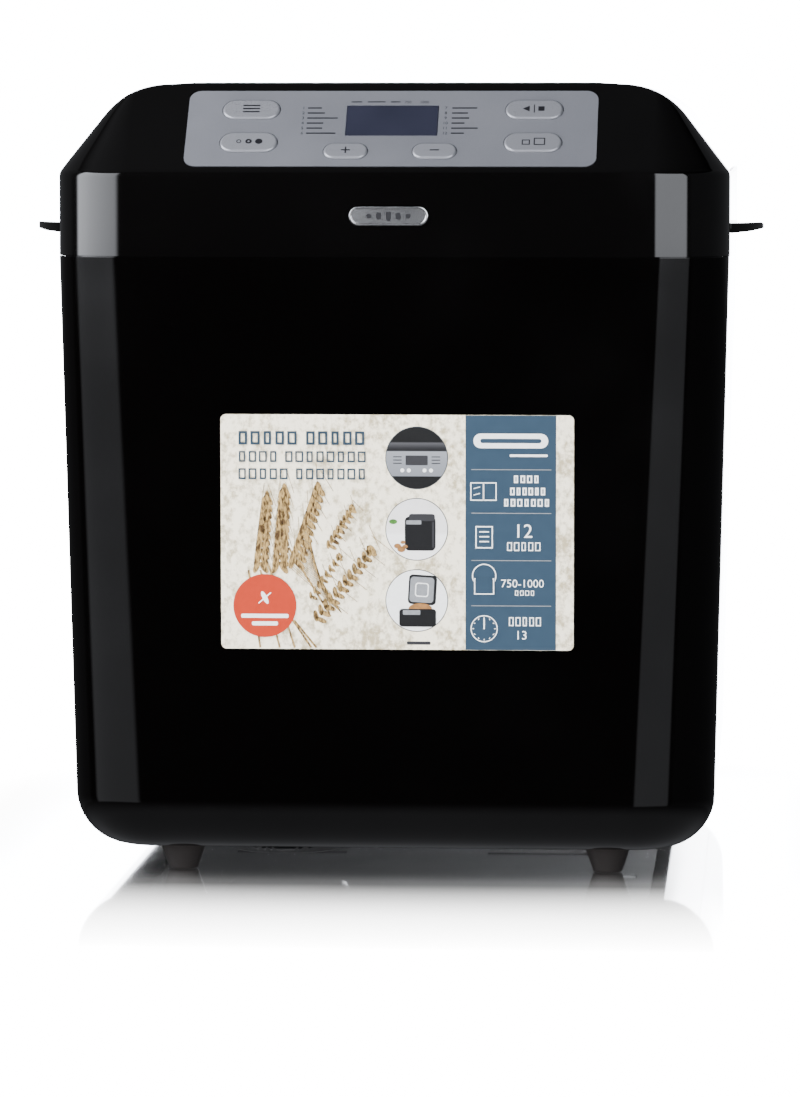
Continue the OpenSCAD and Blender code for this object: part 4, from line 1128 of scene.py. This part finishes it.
def make_emblem():
    """Bright badge with a raised rim and a plain device."""
    middle = (EMBLEM_LOW + EMBLEM_HIGH) / 2
    piece = pill("badge", EMBLEM_HIGH.x - EMBLEM_LOW.x, EMBLEM_HIGH.z - EMBLEM_LOW.z, 0,
                 0.8 * MM, 16)
    pick(piece, lambda co, no: no.z > 0.9 and co.z > 0.7 * MM, "FACE")
    bpy.ops.mesh.inset(thickness=bpy.context.scene.bread_machine_sizes.badge_rim)
    bpy.ops.mesh.inset(thickness=0.15 * MM, depth=-0.25 * MM)
    object_mode()
    smooth(piece, 0.12 * MM)
    settle(piece, (0, FRONT_Y, middle.z), Euler((math.pi / 2, 0, 0)))
    finish_piece(piece, "housing", "bright_emblem", "emblem")
    mark = Print("badge_mark", ["panel_ink"])
    for k in range(5):
        mark.bar((k - 2) * 3.6, 0, 1.9, (1.6, 2.6, 3.4, 2.6, 1.6)[k], radius=0.7)
    mark.place((0, FRONT_Y - 0.56 * MM, middle.z), Euler((math.pi / 2, 0, 0)), "housing",
               "bright_emblem")


def ear(sheet, x0, y0, x1, y1, width, grains, layer):
    """An ear of wheat: grains in pairs up a stem, and long awns past the tip."""
    length = math.hypot(x1 - x0, y1 - y0)
    ux, uy = (x1 - x0) / length, (y1 - y0) / length
    heading = math.atan2(uy, ux)
    for k in range(grains):
        t = (k + 0.5) / grains
        spread = width * (0.5 - 0.28 * t)
        for side in (-1, 1):
            cx = x0 + ux * length * t - uy * side * spread * 0.55
            cy = y0 + uy * length * t + ux * side * spread * 0.55
            sheet.disc(cx, cy, width * 0.48, "wheat_print", layer + k * 0.02, 0.42,
                       heading + side * 0.5, 10)
            if k % 2:
                reach = length * 0.3
                sheet.line(cx, cy, cx + (ux - uy * side * 0.25) * reach,
                           cy + (uy + ux * side * 0.25) * reach, 0.16, "wheat_print", layer - 1)
    sheet.disc(x1, y1, width * 0.42, "wheat_print", layer + 1, 0.4, heading, 10)


def make_label():
    """Front label: floury ground, wheat, three round insets and the slate band."""
    from_frame("front_label", "housing", "label_film", 0.1 * MM, 1)
    inks = ["slate_ink", "band_ink", "white_ink", "orange_ink", "wheat_print", "ring_ink",
            "inset_black", "inset_silver", "inset_grey", "loaf_ink", "leaf_ink", "inset_panel",
            "inset_room"]
    art = Print("label_artwork", inks)
    # headings, as blocks
    art.words(-59.0, 34.8, (5, 5), 4.55, 5.0, "slate_ink", 8, 0.17)
    art.words(-59.0, 27.9, (4, 8), 3.85, 4.0, "slate_ink", 8, 0.14)
    art.words(-59.0, 21.5, (5, 7), 3.85, 4.0, "slate_ink", 8, 0.14)
    # sheaf
    ear(art, -50.8, -14.4, -48.0, 13.2, 5.2, 11, 4)
    ear(art, -43.6, -14.4, -41.6, 15.8, 5.6, 12, 4)
    ear(art, -38.0, -12.8, -28.8, 16.6, 5.6, 12, 4)
    ear(art, -25.2, -6.0, -16.2, 9.2, 3.6, 8, 4)
    ear(art, -30.0, -33.0, -9.0, -6.2, 4.6, 12, 4)
    ear(art, -32.0, -25.0, -21.0, -8.6, 3.0, 8, 3)
    for x0, y0, x1, y1 in ((-50.8, -14.4, -55.0, -42.8), (-43.6, -14.4, -50.6, -42.8),
                           (-38.0, -12.8, -47.4, -42.8), (-25.2, -6.0, -40.0, -30.0),
                           (-30.0, -33.0, -38.0, -42.8), (-32.0, -25.0, -44.0, -42.6)):
        art.line(x0, y0, x1, y1, 0.7, "wheat_print", 2)
    for k in range(26):
        a = 0.72 + 0.025 * k
        x0, y0 = -40 + 0.25 * k, -30 + 0.35 * k
        art.line(x0, y0, x0 + 26 * math.cos(a), y0 + 26 * math.sin(a), 0.17, "wheat_print", 1.5)
    # round badge with a crossed grain
    art.disc(-49.0, -27.4, 11.7, "orange_ink", 6, sides=64)
    art.ring(-49.0, -24.4, 3.9, 3.6, "white_ink", 7)
    art.disc(-49.0, -24.4, 2.6, "white_ink", 7, 0.34, 1.1, 16)
    art.line(-51.2, -22.6, -46.8, -26.4, 0.45, "white_ink", 7.4)
    art.bar(-49.0, -31.2, 17.6, 1.5, "white_ink", 7, 0.5)
    art.bar(-49.0, -34.0, 9.6, 1.5, "white_ink", 7, 0.5)
    # round insets: the panel, the machine in a room, and the open machine
    for row, ground in ((1, "inset_panel"), (2, "inset_room"), (3, "white_ink")):
        y = INSET_ROWS[row]
        art.disc(7.3, y, 11.6, "ring_ink", 1, sides=64)
        art.disc(7.3, y, 11.3, ground, 2, sides=64)
    y = INSET_ROWS[1]
    art.bar(7.3, y - 0.9, 8.2, 3.6, "inset_grey", 3, 0.3)
    for x, w in ((0.2, 3.2), (14.4, 3.2)):
        for k in range(3):
            art.bar(x, y + 0.4 - 1.2 * k, w, 0.35, "inset_grey", 3)
    for x in (2.0, 4.4, 10.2, 12.6):
        art.disc(x, y - 4.6, 0.75, "white_ink", 3, sides=14)
    y = INSET_ROWS[2]
    art.bar(8.6, y - 1.6, 11.4, 12.6, "inset_black", 4, 1.6)
    art.bar(9.2, y + 4.4, 9.6, 2.6, "inset_grey", 5, 0.9)
    art.bar(6.2, y + 2.6, 5.6, 1.5, "inset_silver", 6, 0.3)
    art.bar(13.4, y - 2.0, 0.8, 9.6, "inset_grey", 6, 0.3)
    art.disc(-1.4, y + 2.8, 1.5, "leaf_ink", 4, 0.6)
    for x, v, r in ((0.2, -6.2, 1.3), (1.6, -7.4, 1.5), (3.0, -6.4, 1.0), (2.2, -4.8, 0.9)):
        art.disc(x, y + v, r, "loaf_ink", 5, 0.7, sides=16)
    y = INSET_ROWS[3]
    art.bar(9.4, y + 4.0, 10.4, 11.0, "inset_black", 3, 1.4, 0.06)
    art.bar(9.2, y + 4.0, 8.8, 9.4, "inset_silver", 4, 1.2, 0.06)
    art.bar(9.2, y + 4.0, 5.0, 5.2, "white_ink", 5, 1.0, 0.06)
    art.bar(9.2, y + 4.0, 4.2, 4.4, "inset_silver", 6, 0.8, 0.06)
    art.bar(7.6, y - 6.4, 13.6, 6.6, "inset_black", 7, 1.2)
    art.disc(8.6, y - 2.9, 4.3, "loaf_ink", 6, 0.45, sides=24)
    art.bar(5.4, y - 4.4, 6.4, 1.7, "inset_silver", 8, 0.3)
    # slate band with icons
    art.bar(42.0, 0, 33.4, 86.8, "band_ink", 1)
    art.bar(42.0, 34.0, 27.5, 5.4, "white_ink", 2, 2.6)
    art.bar(42.0, 34.0, 22.5, 1.6, "band_ink", 3, 0.8)
    art.bar(48.6, 28.6, 14.0, 0.9, "white_ink", 2, 0.4)
    for y in (23.4, 7.3, -10.2, -27.0):
        art.bar(42.2, y, 29.5, 0.28, "inset_silver", 2)
    art.frame(29.6, 15.3, 4.6, 6.4, 0.4, "white_ink", 2)
    art.frame(34.3, 15.3, 4.6, 6.4, 0.4, "white_ink", 2)
    for k in range(2):
        art.line(28.4, 17.0 - 2.4 * k, 30.6, 16.4 - 2.4 * k, 0.3, "white_ink", 2)
    art.frame(32.2, -1.6, 6.0, 7.8, 0.45, "white_ink", 2)
    for k in range(3):
        art.bar(32.2, 0.4 - 1.8 * k, 3.6, 0.45, "white_ink", 2)
    art.ring(32.2, -15.9, 4.5, 4.1, "white_ink", 2)
    art.bar(32.2, -20.0, 7.8, 6.4, "band_ink", 3)
    art.frame(32.2, -19.8, 7.0, 5.6, 0.4, "white_ink", 4)
    art.bar(32.2, -17.0, 6.3, 0.9, "band_ink", 5)
    art.ring(32.2, -35.5, 5.0, 4.65, "white_ink", 2)
    art.line(32.2, -35.5, 32.2, -31.8, 0.5, "white_ink", 2)
    for k in range(12):
        a = math.pi * k / 6
        art.line(32.2 + 3.8 * math.cos(a), -35.5 + 3.8 * math.sin(a),
                 32.2 + 4.3 * math.cos(a), -35.5 + 4.3 * math.sin(a), 0.25, "white_ink", 2.5)
    for x, y, letters, pitch, h, weight in (
            (42.8, 19.9, (4,), 2.5, 2.8, 0.2), (41.6, 15.4, (6,), 2.25, 2.8, 0.2),
            (39.2, 11.2, (7,), 2.5, 2.8, 0.2), (40.4, -5.0, (5,), 2.6, 3.2, 0.12),
            (43.3, -22.2, (4,), 1.95, 1.9, 0.15), (41.1, -32.8, (5,), 2.5, 3.3, 0.12)):
        art.words(x, y, letters, pitch, h, "white_ink", 2, weight)
    art.number("12", 43.0, -1.7, 7.2, "white_ink", 2)
    art.number("750-1000", 38.3, -20.1, 4.2, "white_ink", 2)
    art.number("13", 43.6, -39.4, 4.6, "white_ink", 2)
    art.bar(8.0, -41.0, 8.8, 1.2, "inset_grey", 1, 0.4)
    turn = LABEL_TURN.to_matrix()
    at = LABEL_AT + turn @ Vector((3 * MM, -101.5 * MM, 0.375 * MM))
    art.place(at, LABEL_TURN, "housing", "label_film")


# Frame nodes that keep their shape: node, body, slot, edge round in mm
FRAME_PIECES = {
    "feet": [(n, "housing", "foot_rubber", 0.0) for n in (
        "front_left_foot", "front_right_foot", "rear_left_foot", "rear_right_foot")],
    "base": [("base_plate", "housing", "matt_black", 0.0),
             ("base_screws", "housing", "zinc_steel", 0.2),
             ("cord_gland", "housing", "matt_black", 0.3)],
    "hinge": [("hinge_cover", "housing", "matt_black", 0.4),
              ("hinge_bracket", "housing", "zinc_steel", 0.15),
              ("hinge_pin", "housing", "zinc_steel", 0.2),
              ("lid_hinge_arm", "lid", "matt_black", 0.3)],
    "lid_liner": [("lid_glass", "lid", "clear_glass", 0.4),
                  ("lid_inner_plate", "lid", "liner_aluminium", 0.4),
                  ("lid_seal", "lid", "silicone", 0.5)],
    "oven": [("oven_chamber", "housing", "oven_steel", 0.3),
             ("heating_element", "housing", "heater_sheath", 0.0),
             ("heater_insulators", "housing", "ceramic", 0.4),
             ("temperature_sensors", "housing", "zinc_steel", 0.3),
             ("pan_seat", "housing", "oven_steel", 0.3),
             ("drive_bearing", "housing", "bronze", 0.3),
             ("heat_shield", "housing", "liner_aluminium", 0.15)],
    "pan": [("bread_pan", "pan", "nonstick_coating", 0.4),
            ("pan_base_ring", "pan", "cast_aluminium", 0.3),
            ("pan_bush", "pan", "bronze", 0.3),
            ("pan_handle", "handle", "zinc_steel", 0.0),
            ("pan_shaft", "paddle", "zinc_steel", 0.3),
            ("kneading_paddle", "paddle", "nonstick_coating", 0.8)],
    "drive": [("chassis_plate", "housing", "zinc_steel", 0.2),
              ("standoffs", "housing", "zinc_steel", 0.2),
              ("drive_belt", "housing", "belt_rubber", 0.2),
              ("drive_shaft", "drive", "zinc_steel", 0.3),
              ("drive_pulley", "drive", "white_plastic", 0.3),
              ("drive_dog", "drive", "cast_aluminium", 0.3),
              ("motor_rotor", "rotor", "lamination_steel", 0.3),
              ("motor_pulley", "rotor", "cast_aluminium", 0.2),
              ("motor_stator", "housing", "lamination_steel", 0.3),
              ("motor_windings", "housing", "copper_wire", 1.5),
              ("motor_lower_bracket", "housing", "cast_aluminium", 0.3),
              ("motor_upper_bracket", "housing", "cast_aluminium", 0.3)],
    "electrics": [("control_board", "housing", "circuit_board", 0.0),
                  ("display_module", "housing", "display_frame", 0.1),
                  ("run_capacitor", "housing", "white_plastic", 0.5),
                  ("power_board", "housing", "circuit_board", 0.1)],
}


def make_group(group):
    for node, body, slot, edge in FRAME_PIECES[group]:
        from_frame(node, body, slot, edge * MM)


# ---- stage ----

def make_stage():
    """Pale floor, white surround, soft studio boxes and the camera."""
    clear_selection()
    bpy.ops.mesh.primitive_plane_add(size=16, location=(0, 0, 0))
    floor = bpy.context.object
    floor.name = "studio_floor"
    floor.data.materials.append(floor_finish())
    floor.visible_glossy = floor.visible_diffuse = False
    floor.visible_transmission = floor.visible_shadow = False
    set_world()
    for name, at, target, size, power in (
            ("front_box", (-0.25, -1.9, -0.9), (0, -0.16, 0.12), 0.9, 84),
            ("key_box", (-0.3, -0.4, 0.55), (-0.06, -0.14, 0.28), 0.16, 5.2),
            ("top_box", (0, 0.1, 2.2), (0, 0, 0.1), 1.8, 2.5)):
        data = bpy.data.lights.new(name, "AREA")
        data.energy, data.size = power, size
        lamp = bpy.data.objects.new(name, data)
        bpy.context.scene.collection.objects.link(lamp)
        lamp.location = at
        lamp.rotation_euler = (Vector(target) - Vector(at)).to_track_quat("-Z", "Y").to_euler()
        lamp.visible_glossy = lamp.visible_camera = False
    data = bpy.data.cameras.new("studio_camera")
    data.sensor_fit, data.sensor_height, data.sensor_width = "VERTICAL", 36, 36
    data.lens = CAMERA_LENS
    data.clip_end = 30
    camera = bpy.data.objects.new("studio_camera", data)
    bpy.context.scene.collection.objects.link(camera)
    camera.location = CAMERA_AT
    camera.rotation_euler = (math.pi / 2 - CAMERA_PITCH, 0, CAMERA_YAW)
    bpy.context.scene.camera = camera


def floor_finish():
    """White floor with a painted shadow: its glow darkens softly where the machine stands close
    above it.
    """
    material = bpy.data.materials.new("pale_floor")
    material.use_nodes = True
    tree = material.node_tree
    tree.nodes.clear()
    painted_shadow_occlusion = add_node(tree, "ShaderNodeAmbientOcclusion", {"Distance": 0.1}, output=1,
                        samples=16)
    place = add_node(tree, "ShaderNodeTexCoord", output=3)
    grain = add_node(tree, "ShaderNodeTexNoise", {"Vector": place, "Scale": 3.0})
    across = add_node(tree, "ShaderNodeSeparateXYZ", {0: place}, output=0)
    along = add_node(tree, "ShaderNodeSeparateXYZ", {0: place}, output=1)
    reach = add_node(tree, "ShaderNodeMapRange", {
        "Value": along, "From Min": FRONT_Y - 165 * MM, "From Max": FRONT_Y - 5 * MM})
    near = add_node(tree, "ShaderNodeMapRange", {
        "Value": abs(across), "From Min": BODY_W * 0.58, "From Max": BODY_W * 0.7,
        "To Min": 1.0, "To Max": 0.0})
    near = near * add_node(tree, "ShaderNodeMapRange", {
        "Value": along, "From Min": BACK_Y, "From Max": BACK_Y + 60 * MM, "To Min": 1.0,
        "To Max": 0.0})
    # painted shadow: the floor's glow is dimmed where ambient occlusion finds the machine close
    # above
    lit = (painted_shadow_occlusion ** 2.0) * (grain * 0.027 + 0.973)
    dark = add_node(tree, "ShaderNodeEmission", {"Color": (0, 0, 0), "Strength": 0.0})
    glow = add_node(tree, "ShaderNodeEmission", {"Color": (1, 1, 1), "Strength": 18.5})
    glow = add_node(tree, "ShaderNodeMixShader", {0: lit, 1: dark, 2: glow})
    gloss = add_node(tree, "ShaderNodeBsdfGlossy", {"Color": (1, 1, 1), "Roughness": 0.05})
    both = add_node(tree, "ShaderNodeMixShader", {0: (reach ** 0.5) * near * 0.975, 1: glow,
                                                  2: gloss})
    out = tree.nodes.new("ShaderNodeOutputMaterial")
    tree.links.new(both.socket, out.inputs[0])
    return material


def set_world():
    """Studio surround: white behind, tall soft boxes at both sides, quiet in front."""
    world = bpy.context.scene.world or bpy.data.worlds.new("studio")
    bpy.context.scene.world = world
    world.use_nodes = True
    tree = world.node_tree
    tree.nodes.clear()

    def span(value, low, high, soft):
        up = add_node(tree, "ShaderNodeMapRange", {"Value": value, "From Min": low - soft,
                                                   "From Max": low + soft},
                      interpolation_type="SMOOTHSTEP")
        down = add_node(tree, "ShaderNodeMapRange", {"Value": value, "From Min": high - soft,
                                                     "From Max": high + soft, "To Min": 1.0,
                                                     "To Max": 0.0},
                        interpolation_type="SMOOTHSTEP")
        return up * down

    way = add_node(tree, "ShaderNodeTexCoord", output=0)
    x = add_node(tree, "ShaderNodeSeparateXYZ", {0: way}, output=0)
    y = add_node(tree, "ShaderNodeSeparateXYZ", {0: way}, output=1)
    z = add_node(tree, "ShaderNodeSeparateXYZ", {0: way}, output=2)
    azimuth = x.math("ARCTAN2", x, 0 - y) * (180 / math.pi)
    left, right = span(azimuth, -91, -21, 4), span(azimuth, 2, 51, 1.8)
    fade = add_node(tree, "ShaderNodeMapRange", {"Value": azimuth, "From Min": -75.0,
                                                 "From Max": -20.0, "To Min": 7.6,
                                                 "To Max": 4.2})
    rim = 1 - span(azimuth, -105, 56, 5)
    far = 1 - span(azimuth, -166, 166, 2)
    upper, lower = span(z, -0.045, 0.62, 0.02), span(z, -0.3, -0.045, 0.03)
    front = 1 - rim
    light = (left * upper * fade + right * upper * 4.0 + left * lower * 0.46
             + right * lower * 0.42 + rim * upper * 0.1 + rim * lower * 0.03
             + front * upper * 0.045 + span(z, 0.7, 2, 0.12) * (0.1 - x * 0.12)
             + far * span(z, 0.0, 0.4, 0.005) * 18.0
             + far * (x > 0.0) * span(z, -0.14, 0.0, 0.02) * 18.0
             + span(z, -2, -0.42, 0.25) * 0.2 + 0.0006)
    seen = add_node(tree, "ShaderNodeLightPath", output=0)
    strength = seen * 19.0 + (1 - seen) * light
    glow = add_node(tree, "ShaderNodeBackground", {"Color": (0.915, 0.94, 1),
                                                   "Strength": strength})
    out = tree.nodes.new("ShaderNodeOutputWorld")
    tree.links.new(glow.socket, out.inputs[0])


# ---- add-on ----

class BreadMachineColors(bpy.types.PropertyGroup):
    """Colours of the machine that a user may want to change."""

    casing: bpy.props.FloatVectorProperty(
        name="Casing", description="Colour of the polished casing", subtype="COLOR",
        default=(0.0006, 0.0005, 0.0005), min=0, max=1)
    keys: bpy.props.FloatVectorProperty(
        name="Keys", description="Colour of the panel's keys", subtype="COLOR",
        default=(0.255, 0.262, 0.29), min=0, max=1)
    label_band: bpy.props.FloatVectorProperty(
        name="Label band", description="Colour of the label's upright band",
        subtype="COLOR", default=(0.016, 0.036, 0.06), min=0, max=1)
    label_badge: bpy.props.FloatVectorProperty(
        name="Label badge", description="Colour of the label's round badge",
        subtype="COLOR", default=(0.36, 0.026, 0.006), min=0, max=1)


class BreadMachineSizes(bpy.types.PropertyGroup):
    """Sizes of the machine that a user may want to change."""

    corner: bpy.props.FloatProperty(
        name="Corner radius", description="Radius of the casing's upright corners",
        default=CORNER_R, unit="LENGTH")
    key_edge: bpy.props.FloatProperty(
        name="Key edge", description="Round of the keys' upper edges", default=1.1 * MM,
        unit="LENGTH")
    badge_rim: bpy.props.FloatProperty(
        name="Badge rim", description="Width of the badge's raised rim", default=0.7 * MM,
        unit="LENGTH")


class BREADMACHINE_OT_casing(bpy.types.Operator):
    """Build the lower casing"""

    bl_idname = "breadmachine.casing"
    bl_label = "Lower casing"

    def execute(self, context):
        make_casing()
        return {"FINISHED"}


class BREADMACHINE_OT_top_housing(bpy.types.Operator):
    """Build the band and the control housing"""

    bl_idname = "breadmachine.top_housing"
    bl_label = "Top housing"

    def execute(self, context):
        make_top_housing()
        return {"FINISHED"}


class BREADMACHINE_OT_lid(bpy.types.Operator):
    """Build the lid's shell"""

    bl_idname = "breadmachine.lid"
    bl_label = "Lid"

    def execute(self, context):
        make_lid()
        return {"FINISHED"}


class BREADMACHINE_OT_window(bpy.types.Operator):
    """Build the lid's smoked pane"""

    bl_idname = "breadmachine.window"
    bl_label = "Window"

    def execute(self, context):
        make_window()
        return {"FINISHED"}


class BREADMACHINE_OT_grips(bpy.types.Operator):
    """Build the two side grips"""

    bl_idname = "breadmachine.grips"
    bl_label = "Grips"

    def execute(self, context):
        make_grips()
        return {"FINISHED"}


class BREADMACHINE_OT_panel(bpy.types.Operator):
    """Build the fascia, the display and their print"""

    bl_idname = "breadmachine.panel"
    bl_label = "Panel"

    def execute(self, context):
        make_panel()
        return {"FINISHED"}


class BREADMACHINE_OT_keys(bpy.types.Operator):
    """Build the six keys"""

    bl_idname = "breadmachine.keys"
    bl_label = "Keys"

    def execute(self, context):
        make_keys()
        return {"FINISHED"}


class BREADMACHINE_OT_emblem(bpy.types.Operator):
    """Build the badge"""

    bl_idname = "breadmachine.emblem"
    bl_label = "Emblem"

    def execute(self, context):
        make_emblem()
        return {"FINISHED"}


class BREADMACHINE_OT_label(bpy.types.Operator):
    """Build the front label"""

    bl_idname = "breadmachine.label"
    bl_label = "Label"

    def execute(self, context):
        make_label()
        return {"FINISHED"}


class BREADMACHINE_OT_feet(bpy.types.Operator):
    """Build the four feet"""

    bl_idname = "breadmachine.feet"
    bl_label = "Feet"

    def execute(self, context):
        make_group("feet")
        return {"FINISHED"}


class BREADMACHINE_OT_base(bpy.types.Operator):
    """Build the base plate, its screws and the cord gland"""

    bl_idname = "breadmachine.base"
    bl_label = "Base"

    def execute(self, context):
        make_group("base")
        return {"FINISHED"}


class BREADMACHINE_OT_hinge(bpy.types.Operator):
    """Build the hinge and its cover"""

    bl_idname = "breadmachine.hinge"
    bl_label = "Hinge"

    def execute(self, context):
        make_group("hinge")
        return {"FINISHED"}


class BREADMACHINE_OT_lid_liner(bpy.types.Operator):
    """Build the lid's glass, inner plate and seal"""

    bl_idname = "breadmachine.lid_liner"
    bl_label = "Lid liner"

    def execute(self, context):
        make_group("lid_liner")
        return {"FINISHED"}


class BREADMACHINE_OT_oven(bpy.types.Operator):
    """Build the chamber, heater, sensors and pan seat"""

    bl_idname = "breadmachine.oven"
    bl_label = "Oven"

    def execute(self, context):
        make_group("oven")
        return {"FINISHED"}


class BREADMACHINE_OT_pan(bpy.types.Operator):
    """Build the bread pan, its handle, shaft and paddle"""

    bl_idname = "breadmachine.pan"
    bl_label = "Pan"

    def execute(self, context):
        make_group("pan")
        return {"FINISHED"}


class BREADMACHINE_OT_drive(bpy.types.Operator):
    """Build the motor, belt, pulleys and shaft"""

    bl_idname = "breadmachine.drive"
    bl_label = "Drive"

    def execute(self, context):
        make_group("drive")
        return {"FINISHED"}


class BREADMACHINE_OT_electrics(bpy.types.Operator):
    """Build the boards, display module and capacitor"""

    bl_idname = "breadmachine.electrics"
    bl_label = "Electrics"

    def execute(self, context):
        make_group("electrics")
        return {"FINISHED"}


class BREADMACHINE_OT_stage(bpy.types.Operator):
    """Build the floor, lights and camera"""

    bl_idname = "breadmachine.stage"
    bl_label = "Stage"

    def execute(self, context):
        make_stage()
        return {"FINISHED"}


OPERATORS = [
    BREADMACHINE_OT_casing, BREADMACHINE_OT_top_housing, BREADMACHINE_OT_lid,
    BREADMACHINE_OT_window, BREADMACHINE_OT_grips, BREADMACHINE_OT_panel, BREADMACHINE_OT_keys,
    BREADMACHINE_OT_emblem, BREADMACHINE_OT_label, BREADMACHINE_OT_feet, BREADMACHINE_OT_base,
    BREADMACHINE_OT_hinge, BREADMACHINE_OT_lid_liner, BREADMACHINE_OT_oven, BREADMACHINE_OT_pan,
    BREADMACHINE_OT_drive, BREADMACHINE_OT_electrics, BREADMACHINE_OT_stage,
]


class BREADMACHINE_PT_panel(bpy.types.Panel):
    """Lists the steps that build the machine."""

    bl_idname = "BREADMACHINE_PT_panel"
    bl_label = "Bread machine"
    bl_space_type = "VIEW_3D"
    bl_region_type = "UI"
    bl_category = "Bread machine"

    def draw(self, context):
        for name in ("casing", "keys", "label_band", "label_badge"):
            self.layout.prop(context.scene.bread_machine_colors, name)
        for name in ("corner", "key_edge", "badge_rim"):
            self.layout.prop(context.scene.bread_machine_sizes, name)
        for operator in OPERATORS:
            self.layout.operator(operator.bl_idname)


CLASSES = [BreadMachineColors, BreadMachineSizes, *OPERATORS, BREADMACHINE_PT_panel]


def register():
    for cls in CLASSES:
        bpy.utils.register_class(cls)
    bpy.types.Scene.bread_machine_colors = bpy.props.PointerProperty(type=BreadMachineColors)
    bpy.types.Scene.bread_machine_sizes = bpy.props.PointerProperty(type=BreadMachineSizes)


def unregister():
    del bpy.types.Scene.bread_machine_colors
    del bpy.types.Scene.bread_machine_sizes
    for cls in reversed(CLASSES):
        bpy.utils.unregister_class(cls)


def main():
    register()
    for operator in OPERATORS:
        getattr(bpy.ops.breadmachine, operator.bl_idname.split(".")[1])()
    object_mode()


if __name__ == "__main__":
    main()
